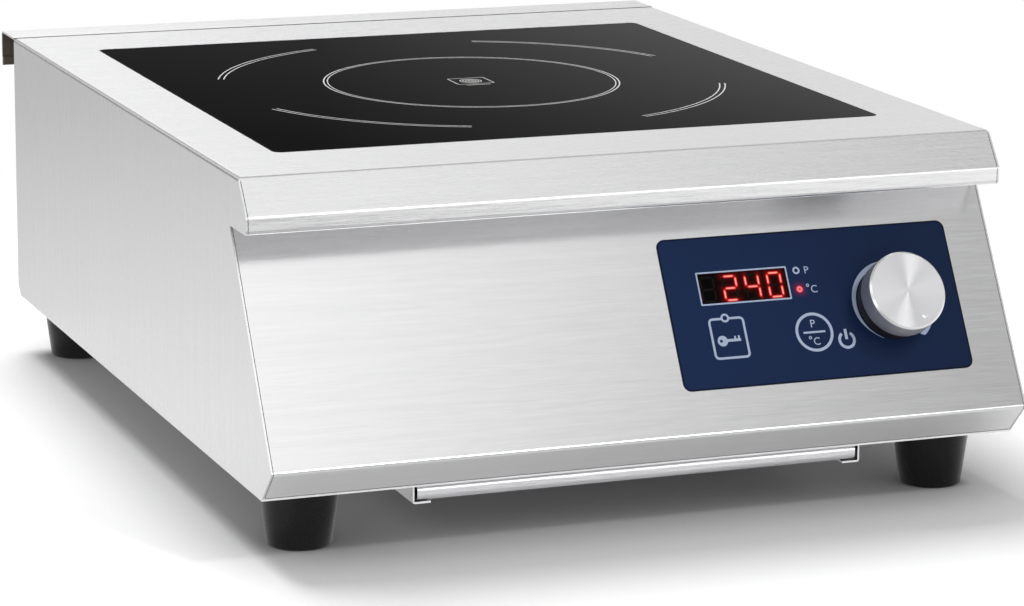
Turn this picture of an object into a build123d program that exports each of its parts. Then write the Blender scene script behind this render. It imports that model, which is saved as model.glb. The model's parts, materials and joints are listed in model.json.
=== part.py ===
from build123d import *
import math
import os

# Countertop induction hob, in millimetres. +X is right seen from the front, -Y is the front, +Z is up.
# The origin is on the table, under the middle of the whole object.

# ---- Casing: folded stainless sheet -------------------------------------------------------------
CASING_WIDTH = 400.0          # over both side sheets
CASING_DEPTH = 434.0          # from the front fold of the top to the back panel
OVERALL_HEIGHT = 182.0        # table to cooking surface
FOOT_HEIGHT = 32.0            # table to the underside of the base plate
SHEET = 1.0
BEND = 2.2                    # outside radius of a fold
SEAM = 0.3                    # gap where two sheets meet
NOSE_REACH = 13.0             # how far the nose stands in front of the top's fold
NOSE_DROP = 17.3              # height of the nose's slanted face
LIP_HEIGHT = 8.7              # height of the nose's upright lip
RECESS_DEPTH = 26.1           # the panel starts this far behind the lip
PANEL_LEAN = 30.8             # degrees between the front panel and the vertical
BEVEL_DEPTH = 15.0            # the bevel under the panel runs back this far
BEVEL_HEIGHT = 15.5
FLANGE = 18.0                 # folded edges that lie against a neighbour
SIDE_FLANGE = 13.0
SIDE_CORNER = 4.5             # clipped lower back corner of each side sheet

# ---- Rear hood over the air outlet --------------------------------------------------------------
HOOD_DEPTH = 31.0
HOOD_DROP = 20.0
HOOD_HEM = 5.0
HOOD_MOUNT = 16.0             # height of the flange screwed to the back panel
HOOD_INSET = 0.6              # the hood stops this far inside the side sheets
VENT_SLOT = (4.0, 46.0)       # width and height of one outlet slot
VENT_PITCH = 9.0
VENT_TOP = 24.0               # slots start this far below the top

# ---- Glass cooking surface ----------------------------------------------------------------------
GLASS_SIDE_BORDER = 36.0
GLASS_FRONT_BORDER = 53.7
GLASS_REAR_BORDER = 52.3
GLASS_THICKNESS = 4.0
GLASS_CORNER = 4.5
GLASS_GAP = 0.6               # seal between the glass and the edge of its cut-out
SEAL_PAD = 0.5                # seal under the glass
LEDGE_INNER = 14.0            # how far the ledge reaches under the glass
LEDGE_OUTER = 11.0            # how far it reaches past the glass

# ---- Coil -------------------------------------------------------------------------------------
COIL_OUTER_R = 112.0
COIL_INNER_R = 24.0
COIL_HEIGHT = 6.0
COIL_TURN = 4.6               # width of one turn of litz wire
COIL_PITCH = 5.4
COIL_DROP = 6.0               # top of the coil to the underside of the glass
MICA = 0.8
CARRIER = 4.0
FERRITE = (12.0, 62.0, 5.0)
FERRITE_COUNT = 8
POST_R = 4.0
POST_OFFSET = 105.0           # posts stand on a square around the coil's axis
SPRING_LENGTH = 12.0
SPRING_WALL = 1.0

# ---- Control panel ----------------------------------------------------------------------------
OVERLAY_WIDTH = 159.2
OVERLAY_HEIGHT = 79.1
OVERLAY_MARGIN = 24.4         # overlay to the right edge of the panel
OVERLAY_CORNER = 3.0
FILM = 0.4
# Places on the overlay are measured from its upper left corner, rightwards and down the panel.
WINDOW = (17.9, 18.5, 49.3, 17.2)          # left, top, width, height
DISPLAY_BEZEL = 0.6
DISPLAY_DEPTH = 10.0
LED_R = 1.5
LED_PLACES = ((72.5, 21.1), (72.4, 31.0), (28.9, 42.9))
LOCK_KEY = (28.7, 54.5)
MODE_KEY = (75.6, 53.9)
KEY_R = 4.0
KEY_TRAVEL = 0.3
KEY_CLEARANCE = 0.3
KEY_STEM_R = 1.8
SWITCH = 6.0
KNOB_PLACE = (121.3, 42.0)
KNOB_R = 20.7
KNOB_TAPER = 0.2              # the cap's side narrows by this much up to its face
KNOB_FACE = 20.8              # height of the knob's face over the panel
KNOB_RIM = 9.0                # panel to the rim of the metal cap
KNOB_GAP = 1.4                # panel to the black core
SKIRT_STEP = 1.4              # the core shows this far inside the cap's rim
KNOB_WALL = 3.6
KNOB_TURN = 290.0
DIMPLE_R = 1.6
DIMPLE_PLACE = 15.5           # knob axis to the dimple
DIMPLE_CLOCK = 157.0          # degrees clockwise from the top
SHAFT_R = 3.0
RUNNING = 0.05                # radial clearance of a shaft in its hole
BUSHING_R = 4.5
POT_R = 11.0
POT_DEPTH = 13.0
BOARD = 1.6
BOARD_STANDOFF = 9.4

# ---- Cooling fan and air filter ---------------------------------------------------------------
FAN_SIZE = 120.0
FAN_DEPTH = 38.0
FAN_BORE_R = 57.0
FAN_HUB_R = 20.0
FAN_BLADES = 7
FAN_TIP_GAP = 2.0
FAN_FRONT = 73.0              # front edge of the base plate to the fan
FILTER_WIDTH = 235.0
FILTER_LENGTH = 250.0
FILTER_THICKNESS = 8.0
FILTER_SETBACK = 11.5         # filter's front edge behind the base plate's front edge
FILTER_EDGE_R = 3.0
FILTER_RIM = 14.0
FILTER_REST = 0.3
RAIL_SIDE_GAP = 1.5
RAIL_DROP = 12.0              # base plate to the underside of the rail
RAIL_LIP = 8.5
RAIL_WELD = 10.0

# ---- Feet -------------------------------------------------------------------------------------
FOOT_TOP_R = 20.0
FOOT_BOTTOM_R = 16.0
FOOT_INSET_X = 29.0
FOOT_INSET_FRONT = 32.6
FOOT_INSET_REAR = 26.0
FOOT_SCREW_R = 2.5
FOOT_SOCKET_R = 6.0
FOOT_SOCKET_DEPTH = 18.0

# ---- Power electronics ------------------------------------------------------------------------
POWER_BOARD_WIDTH = 176.0
POWER_BOARD_GAP = 24.0        # fan to the board
POWER_BOARD_REAR = 50.0       # board to the back panel
POWER_STANDOFF = 12.0
HEAT_SINK = (110.0, 98.0, 38.0)
HEAT_SINK_FINS = 11
HEAT_SINK_BASE = 5.0
FIN = 1.8
DEVICE = (16.0, 20.0, 5.0)
CHOKE_R = 25.0
CHOKE_HEIGHT = 22.0
CAPACITOR = (42.0, 20.0, 34.0)

# ---- Mains inlet ------------------------------------------------------------------------------
GLAND_SIDE = 50.0             # right side sheet to the gland's axis
GLAND_HEIGHT = 42.0           # over the base plate
GLAND_BORE_R = 5.2
GLAND_THREAD_R = 8.0
GLAND_HEX = 22.0              # across flats
GLAND_OUT = 19.0              # how far it stands out of the back panel
GLAND_IN = 10.0
TERMINAL = (60.0, 22.0, 24.0)

SCREW_R = 2.0
HEAD_R = 3.8
HEAD = 2.4

# ---- Places worked out from the sizes above ---------------------------------------------------
HALF = CASING_WIDTH / 2
BASE_LOW = FOOT_HEIGHT
BASE_TOP = FOOT_HEIGHT + SHEET
RECESS_Z = OVERALL_HEIGHT - NOSE_DROP - LIP_HEIGHT
PANEL_LOW_Z = BASE_TOP + BEVEL_HEIGHT
LEAN_ANGLE = math.radians(PANEL_LEAN)
PANEL_LENGTH = (RECESS_Z - PANEL_LOW_Z) / math.cos(LEAN_ANGLE)
PANEL_RUN = PANEL_LENGTH * math.sin(LEAN_ANGLE)
OVERHANG = PANEL_RUN + NOSE_REACH - RECESS_DEPTH
BEVEL_ANGLE = math.atan2(BEVEL_DEPTH, BEVEL_HEIGHT)
CORNER_SINES = math.sin(BEVEL_ANGLE) + math.sin(LEAN_ANGLE)
FOLD_CUT = BEND * (CORNER_SINES / math.sin(BEVEL_ANGLE + LEAN_ANGLE) - 1)   # the round fold's lost reach
FRONT_Y = OVERHANG - (OVERHANG + CASING_DEPTH + HOOD_DEPTH + FOLD_CUT) / 2
BACK_Y = FRONT_Y + CASING_DEPTH
NOSE_Y = FRONT_Y - NOSE_REACH
RECESS_Y = NOSE_Y + RECESS_DEPTH
PANEL_LOW_Y = RECESS_Y - PANEL_RUN
BEVEL_LOW_Y = PANEL_LOW_Y + BEVEL_DEPTH
TOP_UNDER = OVERALL_HEIGHT - SHEET
SHEET_HALF = HALF - SHEET - SEAM            # half width of a sheet that fits between the sides

GLASS_W = CASING_WIDTH - 2 * GLASS_SIDE_BORDER
GLASS_D = CASING_DEPTH - GLASS_FRONT_BORDER - GLASS_REAR_BORDER
GLASS_Y = FRONT_Y + GLASS_FRONT_BORDER + GLASS_D / 2
GLASS_UNDER = OVERALL_HEIGHT - GLASS_THICKNESS
LEDGE_TOP = GLASS_UNDER - SEAL_PAD
COIL_TOP = GLASS_UNDER - COIL_DROP
COIL_LOW = COIL_TOP - COIL_HEIGHT
CARRIER_LOW = COIL_LOW - CARRIER

PANEL = Plane(
    origin=(0, RECESS_Y, RECESS_Z),
    x_dir=(1, 0, 0),
    z_dir=(0, -math.cos(LEAN_ANGLE), math.sin(LEAN_ANGLE)),
)
KNOB_FACE_R = KNOB_R - KNOB_TAPER
OVERLAY_LEFT = HALF - OVERLAY_MARGIN - OVERLAY_WIDTH
OVERLAY_TOP = (PANEL_LENGTH - OVERLAY_HEIGHT) / 2
BOARD_FACE = -SHEET - BOARD_STANDOFF

FAN_Y = BEVEL_LOW_Y + FAN_FRONT + FAN_SIZE / 2
FILTER_FRONT = BEVEL_LOW_Y + FILTER_SETBACK
RAIL_LOW = BASE_LOW - RAIL_DROP
FILTER_LOW = RAIL_LOW + SHEET + FILTER_REST
RAIL_IN = FILTER_WIDTH / 2 + RAIL_SIDE_GAP
FOOT_X = HALF - FOOT_INSET_X
FOOT_FRONT_Y = BEVEL_LOW_Y + FOOT_INSET_FRONT
FOOT_REAR_Y = BACK_Y - FOOT_INSET_REAR
POWER_FRONT = FAN_Y + FAN_SIZE / 2 + POWER_BOARD_GAP
POWER_REAR = BACK_Y - POWER_BOARD_REAR
POWER_Y = (POWER_FRONT + POWER_REAR) / 2
POWER_TOP = BASE_TOP + POWER_STANDOFF + BOARD
GLAND_Z = BASE_TOP + GLAND_HEIGHT


def block(x0, x1, y0, y1, z0, z1):
    """A box between two opposite corners."""
    centre = ((x0 + x1) / 2, (y0 + y1) / 2, (z0 + z1) / 2)
    return Pos(*centre) * Box(x1 - x0, y1 - y0, z1 - z0)


def rod(x, y, z0, z1, radius):
    """An upright cylinder."""
    return Pos(x, y, (z0 + z1) / 2) * Cylinder(radius, z1 - z0)


def rounded_block(width, depth, x, y, z0, z1, corner):
    """An upright block with rounded upright corners."""
    face = Pos(x, y, z0) * RectangleRounded(width, depth, corner)
    return extrude(face, z1 - z0, dir=(0, 0, 1))


def folded(points, half_width, bend=BEND):
    """Sheet folded along an outline of (y, z) points on its outer skin; the metal lies left of them."""
    path = FilletPolyline(*points, radius=bend)
    outline = path.wire().offset_2d(SHEET, kind=Kind.ARC, side=Side.LEFT, closed=True)
    face = Plane.YZ.offset(-half_width) * Face(outline)
    return extrude(face, 2 * half_width, dir=(1, 0, 0))


def on_panel(across, down, height=0.0):
    """A place on the front panel: across in X, down the slope, and out from its face."""
    return PANEL.location * Pos(across, -down, height)


def on_overlay(across, down, height=0.0):
    """A place on the control overlay, from its upper left corner."""
    return on_panel(OVERLAY_LEFT + across, OVERLAY_TOP + down, height)


def panel_rod(place, low, high, radius):
    """A cylinder standing square to the front panel, between two heights over its face."""
    return on_overlay(*place, (low + high) / 2) * Cylinder(radius, high - low)


def panel_box(place, width, length, low, high):
    """A box square to the front panel, centred on a place of the overlay."""
    return on_overlay(*place, (low + high) / 2) * Box(width, length, high - low)


WINDOW_CENTRE = (WINDOW[0] + WINDOW[2] / 2, WINDOW[1] + WINDOW[3] / 2)
OVERLAY_CENTRE = (OVERLAY_WIDTH / 2, OVERLAY_HEIGHT / 2)


# ---- Casing -----------------------------------------------------------------------------------
NOSE_POINTS = [
    (FRONT_Y, OVERALL_HEIGHT),
    (NOSE_Y, OVERALL_HEIGHT - NOSE_DROP),
    (NOSE_Y, RECESS_Z),
]
PANEL_POINTS = [
    (RECESS_Y, RECESS_Z),
    (PANEL_LOW_Y, PANEL_LOW_Z),
    (BEVEL_LOW_Y, BASE_TOP),
]


def side_outline():
    """The outline of a side sheet, seen from the right."""
    corners = [
        (BACK_Y, OVERALL_HEIGHT),
        *NOSE_POINTS,
        *PANEL_POINTS,
        (BACK_Y - SIDE_CORNER, BASE_TOP),
        (BACK_Y, BASE_TOP + SIDE_CORNER),
    ]
    face = make_face(Polyline(*corners, close=True))
    folds = [
        v
        for v in face.vertices()
        if min(math.dist((v.X, v.Y), p) for p in NOSE_POINTS + [PANEL_POINTS[1]]) < SHEET / 10
    ]
    return fillet(folds, BEND)


def outer_casing():
    """Top, both sides and the nose, folded and welded from one sheet."""
    reach = BACK_Y - PANEL_LOW_Y
    middle = (BACK_Y + PANEL_LOW_Y) / 2
    height = OVERALL_HEIGHT - BASE_TOP
    mid_z = (OVERALL_HEIGHT + BASE_TOP) / 2
    outer = Pos(0, middle, mid_z) * Box(CASING_WIDTH, reach, height)
    outer = fillet(outer.edges().filter_by(Axis.Y).group_by(Axis.Z)[-1], BEND)
    inner = Pos(0, middle, mid_z) * Box(CASING_WIDTH - 2 * SHEET, 2 * reach, height - 2 * SHEET)
    inner = fillet(inner.edges().filter_by(Axis.Y).group_by(Axis.Z)[-1], BEND - SHEET)
    opening = block(-HALF + SIDE_FLANGE, HALF - SIDE_FLANGE, -reach, reach, 0, mid_z)
    front = block(-SHEET_HALF, SHEET_HALF, -reach, BEVEL_LOW_Y + FLANGE + SEAM, 0, mid_z)
    back = block(-SHEET_HALF, SHEET_HALF, BACK_Y - 2 * SHEET - SEAM, reach, 0, mid_z)
    shell = outer - inner - opening - front - back
    outline = extrude(Plane.YZ.offset(-HALF) * side_outline(), CASING_WIDTH, dir=(1, 0, 0))
    shell = shell & outline
    nose = folded(
        [(FRONT_Y + BEND * 3, OVERALL_HEIGHT), *NOSE_POINTS, (RECESS_Y + FLANGE, RECESS_Z)],
        SHEET_HALF,
    )
    shell = shell + nose
    for side in (-1, 1):
        edges = sorted((side * (HALF - SHEET), side * (HALF - SIDE_FLANGE)))
        shell = shell + block(
            *edges,
            BACK_Y - 2 * SHEET,
            BACK_Y - SHEET,
            BASE_TOP + FLANGE,
            TOP_UNDER - FLANGE,
        )
    shell = shell - rounded_block(
        GLASS_W + 2 * GLASS_GAP,
        GLASS_D + 2 * GLASS_GAP,
        0,
        GLASS_Y,
        TOP_UNDER - SHEET,
        OVERALL_HEIGHT + SHEET,
        GLASS_CORNER + GLASS_GAP,
    )
    for place in rear_screw_places() + base_screw_places():
        shell = shell - place * Cylinder(SCREW_R + SEAM / 2, 8 * SHEET)
    return shell


def front_panel():
    """The sloped panel, its bevel and the flanges that lie on the nose and the base plate."""
    panel = folded(
        [
            (RECESS_Y + FLANGE, RECESS_Z),
            *PANEL_POINTS,
            (BEVEL_LOW_Y + FLANGE, BASE_TOP),
        ],
        SHEET_HALF,
    )
    panel = panel - panel_box(
        WINDOW_CENTRE,
        WINDOW[2] + 2 * DISPLAY_BEZEL + SEAM,
        WINDOW[3] + 2 * DISPLAY_BEZEL + SEAM,
        -3 * SHEET,
        SHEET,
    )
    for place in LED_PLACES:
        panel = panel - panel_rod(place, -3 * SHEET, SHEET, LED_R + KEY_CLEARANCE)
    for place in (LOCK_KEY, MODE_KEY):
        panel = panel - panel_rod(place, -3 * SHEET, SHEET, KEY_R + 2 * KEY_CLEARANCE)
    return panel - panel_rod(KNOB_PLACE, -3 * SHEET, SHEET, BUSHING_R + SEAM / 2)


def base_plate():
    """The bottom sheet with the air intake slots over the filter."""
    plate = block(-HALF, HALF, BEVEL_LOW_Y, BACK_Y, BASE_LOW, BASE_TOP)
    plate = chamfer(plate.edges().filter_by(Axis.Z).group_by(Axis.Y)[-1], SIDE_CORNER)
    slot_pitch = 2 * VENT_SLOT[0]
    rows = int((FAN_BORE_R - VENT_SLOT[0]) / slot_pitch)
    for row in range(-rows, rows + 1):
        y = row * slot_pitch
        half = math.sqrt((FAN_BORE_R - VENT_SLOT[0]) ** 2 - y**2) - VENT_SLOT[0]
        if half > VENT_SLOT[0]:
            slot = SlotCenterToCenter(2 * half, VENT_SLOT[0])
            plate = plate - extrude(Pos(0, FAN_Y + y, BASE_LOW - SHEET) * slot, 3 * SHEET)
    for x, y in foot_places():
        plate = plate - rod(x, y, BASE_LOW - SHEET, BASE_TOP + SHEET, FOOT_SCREW_R + SEAM / 2)
    for place in base_screw_places():
        plate = plate - place * Cylinder(SCREW_R + SEAM / 2, 8 * SHEET)
    return plate


def rear_panel():
    """The back sheet with the outlet slots and the hole for the cable gland."""
    panel = block(-SHEET_HALF, SHEET_HALF, BACK_Y - SHEET, BACK_Y, BASE_TOP, TOP_UNDER)
    panel = chamfer(panel.edges().filter_by(Axis.Y).group_by(Axis.Z)[0], SIDE_CORNER)
    panel = chamfer(panel.edges().filter_by(Axis.Y).group_by(Axis.Z)[-1], BEND)
    slot_top = OVERALL_HEIGHT - VENT_TOP
    slots = int((SHEET_HALF - 2 * SIDE_FLANGE) / VENT_PITCH)
    for index in range(-slots, slots + 1):
        slot = SlotOverall(VENT_SLOT[1], VENT_SLOT[0], rotation=90)
        place = Pos(index * VENT_PITCH, BACK_Y + SHEET, slot_top - VENT_SLOT[1] / 2)
        panel = panel - place * Rot(90, 0, 0) * extrude(slot, 3 * SHEET)
    panel = panel - gland_place(0) * Cylinder(GLAND_THREAD_R + SEAM / 2, 8 * SHEET)
    for place in rear_screw_places() + hood_screw_places():
        panel = panel - place * Cylinder(SCREW_R + SEAM / 2, 4 * SHEET)
    return panel


def rear_deflector():
    """The hood that turns the outgoing air down, open at both ends."""
    hood = folded(
        [
            (BACK_Y + HOOD_DEPTH, OVERALL_HEIGHT - HOOD_DROP),
            (BACK_Y + HOOD_DEPTH, OVERALL_HEIGHT),
            (BACK_Y, OVERALL_HEIGHT),
            (BACK_Y, OVERALL_HEIGHT - HOOD_MOUNT),
        ],
        HALF - HOOD_INSET,
    )
    inside = BACK_Y + HOOD_DEPTH - SHEET
    foot = OVERALL_HEIGHT - HOOD_DROP
    hem = block(-HALF + HOOD_INSET, HALF - HOOD_INSET, inside - SHEET, inside, foot, foot + HOOD_HEM)
    hood = hood + hem
    hood = fillet(hood.edges().filter_by(Axis.X).group_by(Axis.Z)[0], SHEET / 2)
    for place in hood_screw_places():
        hood = hood - place * Cylinder(SCREW_R + SEAM / 2, 4 * SHEET)
    return hood


# ---- Fasteners --------------------------------------------------------------------------------
def rear_screw_places():
    """Screws along both upright edges of the back panel, pointing backwards."""
    x = HALF - SHEET - SIDE_FLANGE / 2
    heights = (BASE_TOP + 2 * FLANGE, (BASE_TOP + TOP_UNDER) / 2, TOP_UNDER - 2 * FLANGE)
    return [Pos(side * x, BACK_Y, z) * Rot(-90, 0, 0) for side in (-1, 1) for z in heights]


def base_screw_places():
    """Screws through the base plate into the side flanges, pointing down."""
    x = HALF - SHEET - SIDE_FLANGE / 2
    low = FOOT_FRONT_Y + 2.5 * FOOT_TOP_R
    high = FOOT_REAR_Y - 2.5 * FOOT_TOP_R
    return [
        Pos(side * x, y, BASE_LOW) * Rot(180, 0, 0)
        for side in (-1, 1)
        for y in (low, (low + high) / 2, high)
    ]


def hood_screw_places():
    """Screws through the hood's mounting flange, pointing backwards."""
    z = OVERALL_HEIGHT - HOOD_MOUNT * 0.6
    return [Pos(x * HALF * 0.8, BACK_Y + SHEET, z) * Rot(-90, 0, 0) for x in (-1, 0, 1)]


def pan_screw(length):
    """A pan head screw whose head stands on Z = 0 and whose thread runs down."""
    head = Pos(0, 0, HEAD / 2) * Cylinder(HEAD_R, HEAD)
    head = fillet(head.edges().group_by(Axis.Z)[-1], HEAD / 3)
    cross = Box(HEAD_R, SHEET * 0.8, HEAD) + Box(SHEET * 0.8, HEAD_R, HEAD)
    thread = Pos(0, 0, -length / 2) * Cylinder(SCREW_R, length)
    return head + thread - Pos(0, 0, HEAD) * cross


def screws(places, length):
    return Compound([place * pan_screw(length) for place in places])


def casing_screws():
    return screws(rear_screw_places() + base_screw_places(), 5 * SHEET)


def hood_screws():
    return screws(hood_screw_places(), 4 * SHEET)


# ---- Glass and its ledge ----------------------------------------------------------------------
def glass_plate():
    plate = rounded_block(GLASS_W, GLASS_D, 0, GLASS_Y, GLASS_UNDER, OVERALL_HEIGHT, GLASS_CORNER)
    return chamfer(plate.edges().group_by(Axis.Z)[-1], GLASS_GAP / 2)


def glass_seal():
    """Silicone bead around the glass and the pad it lies on."""
    outer = (GLASS_W + 2 * GLASS_GAP, GLASS_D + 2 * GLASS_GAP)
    bead = rounded_block(
        *outer, 0, GLASS_Y, LEDGE_TOP, OVERALL_HEIGHT - GLASS_GAP / 2, GLASS_CORNER + GLASS_GAP
    )
    bead = bead - rounded_block(
        GLASS_W, GLASS_D, 0, GLASS_Y, GLASS_UNDER, OVERALL_HEIGHT, GLASS_CORNER
    )
    return bead - rounded_block(
        GLASS_W - 2 * LEDGE_INNER,
        GLASS_D - 2 * LEDGE_INNER,
        0,
        GLASS_Y,
        LEDGE_TOP - SHEET,
        GLASS_UNDER + SHEET,
        GLASS_CORNER,
    )


def glass_ledge():
    """The frame welded under the top that carries the glass."""
    width = GLASS_W + 2 * LEDGE_OUTER
    depth = GLASS_D + 2 * LEDGE_OUTER
    low = LEDGE_TOP - SHEET
    frame = rounded_block(width, depth, 0, GLASS_Y, low, TOP_UNDER, GLASS_CORNER)
    frame = frame - rounded_block(
        width - 2 * SHEET, depth - 2 * SHEET, 0, GLASS_Y, LEDGE_TOP, TOP_UNDER, GLASS_CORNER - SHEET
    )
    return frame - rounded_block(
        GLASS_W - 2 * LEDGE_INNER,
        GLASS_D - 2 * LEDGE_INNER,
        0,
        GLASS_Y,
        low - SHEET,
        LEDGE_TOP + SHEET,
        GLASS_CORNER,
    )


# ---- Coil -------------------------------------------------------------------------------------
def ring(inner, outer, z0, z1):
    """A flat ring around the coil's axis."""
    return rod(0, GLASS_Y, z0, z1, outer) - rod(0, GLASS_Y, z0 - SHEET, z1 + SHEET, inner)


def post_places():
    return [(x * POST_OFFSET, GLASS_Y + y * POST_OFFSET) for x in (-1, 1) for y in (-1, 1)]


def induction_coil():
    """The flat winding, as one ring for each turn."""
    turns = int((COIL_OUTER_R - COIL_INNER_R) / COIL_PITCH)
    radii = [COIL_INNER_R + index * COIL_PITCH for index in range(turns)]
    return Compound([ring(r, r + COIL_TURN, COIL_LOW, COIL_TOP) for r in radii])


def coil_carrier():
    """The plastic disc with four arms that holds the winding."""
    disc = ring(COIL_INNER_R / 2, COIL_OUTER_R + COIL_PITCH, CARRIER_LOW, COIL_LOW)
    length = 2 * math.hypot(POST_OFFSET, POST_OFFSET) + 4 * POST_R
    for turn in (45, 135):
        arm = Pos(0, GLASS_Y, (CARRIER_LOW + COIL_LOW) / 2) * Rot(0, 0, turn)
        disc = disc + arm * Box(length, 4 * POST_R, CARRIER)
    disc = disc - rod(0, GLASS_Y, CARRIER_LOW - SHEET, COIL_LOW + SHEET, COIL_INNER_R / 2)
    for index in range(FERRITE_COUNT):
        window = Pos(0, GLASS_Y, COIL_LOW) * Rot(0, 0, (index + 0.5) * 360 / FERRITE_COUNT)
        radius = (COIL_INNER_R + COIL_OUTER_R) / 2
        disc = disc - window * Pos(radius, 0, 0) * Cylinder(FERRITE[0] * 0.8, 4 * CARRIER)
    return disc


def ferrite_bars():
    bars = []
    for index in range(FERRITE_COUNT):
        turn = Pos(0, GLASS_Y, CARRIER_LOW - FERRITE[2] / 2) * Rot(0, 0, index * 360 / FERRITE_COUNT)
        bars.append(turn * Pos(COIL_INNER_R + FERRITE[1] / 2, 0, 0) * Box(FERRITE[1], FERRITE[0], FERRITE[2]))
    return Compound(bars)


def mica_sheet():
    return ring(COIL_INNER_R / 2, COIL_OUTER_R + COIL_PITCH, COIL_TOP, COIL_TOP + MICA)


def temperature_sensor():
    """The sensor in its sprung holder, up against the middle of the glass."""
    holder = rod(0, GLASS_Y, CARRIER_LOW - CARRIER, GLASS_UNDER - SEAM, COIL_INNER_R / 2 - SEAM)
    collar = rod(0, GLASS_Y, CARRIER_LOW - CARRIER, CARRIER_LOW, COIL_INNER_R / 2 + 2 * SHEET)
    return holder + collar


def coil_posts():
    top = CARRIER_LOW - SPRING_LENGTH
    return Compound([rod(x, y, BASE_TOP, top, POST_R) for x, y in post_places()])


def coil_springs():
    springs = []
    for x, y in post_places():
        tube = rod(x, y, CARRIER_LOW - SPRING_LENGTH, CARRIER_LOW, POST_R)
        springs.append(tube - rod(x, y, BASE_TOP, COIL_LOW, POST_R - SPRING_WALL))
    return Compound(springs)


# ---- Control panel ----------------------------------------------------------------------------
def control_overlay():
    """The printed film over the panel, with openings for the display and the knob's bushing."""
    film = on_overlay(*OVERLAY_CENTRE) * extrude(
        RectangleRounded(OVERLAY_WIDTH, OVERLAY_HEIGHT, OVERLAY_CORNER), FILM
    )
    film = film - panel_box(WINDOW_CENTRE, WINDOW[2], WINDOW[3], -SHEET, SHEET)
    return film - panel_rod(KNOB_PLACE, -SHEET, SHEET, BUSHING_R + SEAM)


def display_window():
    inset = SEAM / 3
    return panel_box(WINDOW_CENTRE, WINDOW[2] - inset, WINDOW[3] - inset, 0, FILM)


def display_module():
    """The four-digit block, through the panel and up to its window."""
    width = WINDOW[2] + 2 * DISPLAY_BEZEL
    length = WINDOW[3] + 2 * DISPLAY_BEZEL
    return panel_box(WINDOW_CENTRE, width, length, BOARD_FACE, 0)


def indicator_leds():
    leds = []
    for place in LED_PLACES:
        body = panel_rod(place, BOARD_FACE, 0, LED_R)
        leds.append(body + panel_rod(place, BOARD_FACE, BOARD_FACE + SHEET, LED_R + SHEET / 2))
    return Compound(leds)


def control_board():
    """The circuit board behind the overlay."""
    board = panel_box(
        OVERLAY_CENTRE, OVERLAY_WIDTH - 6 * SHEET, OVERLAY_HEIGHT - 6 * SHEET, BOARD_FACE - BOARD, BOARD_FACE
    )
    return board - panel_rod(KNOB_PLACE, BOARD_FACE - 2 * BOARD, 0, POT_R + SHEET)


def board_standoffs():
    """Four studs welded behind the panel that carry the control board."""
    studs = []
    for x in (5 * SHEET + SCREW_R, OVERLAY_WIDTH - 5 * SHEET - SCREW_R):
        for y in (5 * SHEET + SCREW_R, OVERLAY_HEIGHT - 5 * SHEET - SCREW_R):
            studs.append(panel_rod((x, y), BOARD_FACE, -SHEET, SCREW_R + SHEET))
    return Compound(studs)


KEY_FACE = -KEY_CLEARANCE
SWITCH_TOP = BOARD_FACE + SWITCH * 0.6
STEM_LOW = BOARD_FACE + SHEET + 2 * KEY_TRAVEL


def key_switch(place):
    """The fixed part of a push switch, with the hole its stem runs in."""
    body = panel_box(place, SWITCH, SWITCH, BOARD_FACE, SWITCH_TOP)
    return body - panel_rod(place, BOARD_FACE + SHEET, SWITCH_TOP + SHEET, KEY_STEM_R + KEY_CLEARANCE)


def key_plunger(place):
    """The moving part: a stem and the round pad under the film."""
    pad = panel_rod(place, KEY_FACE - 2 * SHEET, KEY_FACE, KEY_R)
    return pad + panel_rod(place, STEM_LOW, KEY_FACE - SHEET, KEY_STEM_R)


def knob_regulator():
    """The rotary regulator behind the panel and its threaded bushing."""
    body = panel_rod(KNOB_PLACE, -SHEET - POT_DEPTH, -SHEET, POT_R)
    body = body + panel_rod(KNOB_PLACE, -SHEET, 5 * SHEET, BUSHING_R)
    return body - panel_rod(KNOB_PLACE, -POT_DEPTH + SHEET, 6 * SHEET, SHAFT_R + RUNNING)


def regulator_nut():
    nut = extrude(RegularPolygon(BUSHING_R * 1.6, 6), 2.2 * SHEET)
    nut = on_overlay(*KNOB_PLACE, FILM) * nut
    return nut - panel_rod(KNOB_PLACE, -SHEET, 5 * SHEET, BUSHING_R + RUNNING)


def knob_shaft():
    return panel_rod(KNOB_PLACE, -POT_DEPTH + SHEET + SEAM, KNOB_FACE - 5 * SHEET, SHAFT_R)


CAP_INNER_R = KNOB_R - KNOB_WALL
CAP_ROOF = KNOB_FACE - 3 * SHEET


def knob_cap():
    """The turned aluminium cap, with the dimple that marks its setting."""
    side = Pos(0, 0, KNOB_RIM) * Cone(
        KNOB_R, KNOB_FACE_R, KNOB_FACE - KNOB_RIM, align=(Align.CENTER, Align.CENTER, Align.MIN)
    )
    side = chamfer(side.edges().group_by(Axis.Z)[-1], 0.9 * SHEET)
    side = fillet(side.edges().group_by(Axis.Z)[0], SEAM)
    hollow = Pos(0, 0, CAP_ROOF / 2) * Cylinder(CAP_INNER_R, CAP_ROOF)
    clock = math.radians(DIMPLE_CLOCK)
    dimple = Pos(DIMPLE_PLACE * math.sin(clock), DIMPLE_PLACE * math.cos(clock), KNOB_FACE)
    return on_overlay(*KNOB_PLACE) * (side - hollow - dimple * Sphere(DIMPLE_R))


def knob_insert():
    """The black moulded core that grips the shaft."""
    core = panel_rod(KNOB_PLACE, KNOB_GAP, CAP_ROOF, CAP_INNER_R - RUNNING)
    core = core + panel_rod(KNOB_PLACE, KNOB_GAP, KNOB_RIM - RUNNING, KNOB_R - SKIRT_STEP)
    core = core - panel_rod(KNOB_PLACE, 0, 6 * SHEET, 2 * BUSHING_R)
    return core - panel_rod(KNOB_PLACE, 0, KNOB_FACE - 5 * SHEET, SHAFT_R + RUNNING)


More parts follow.
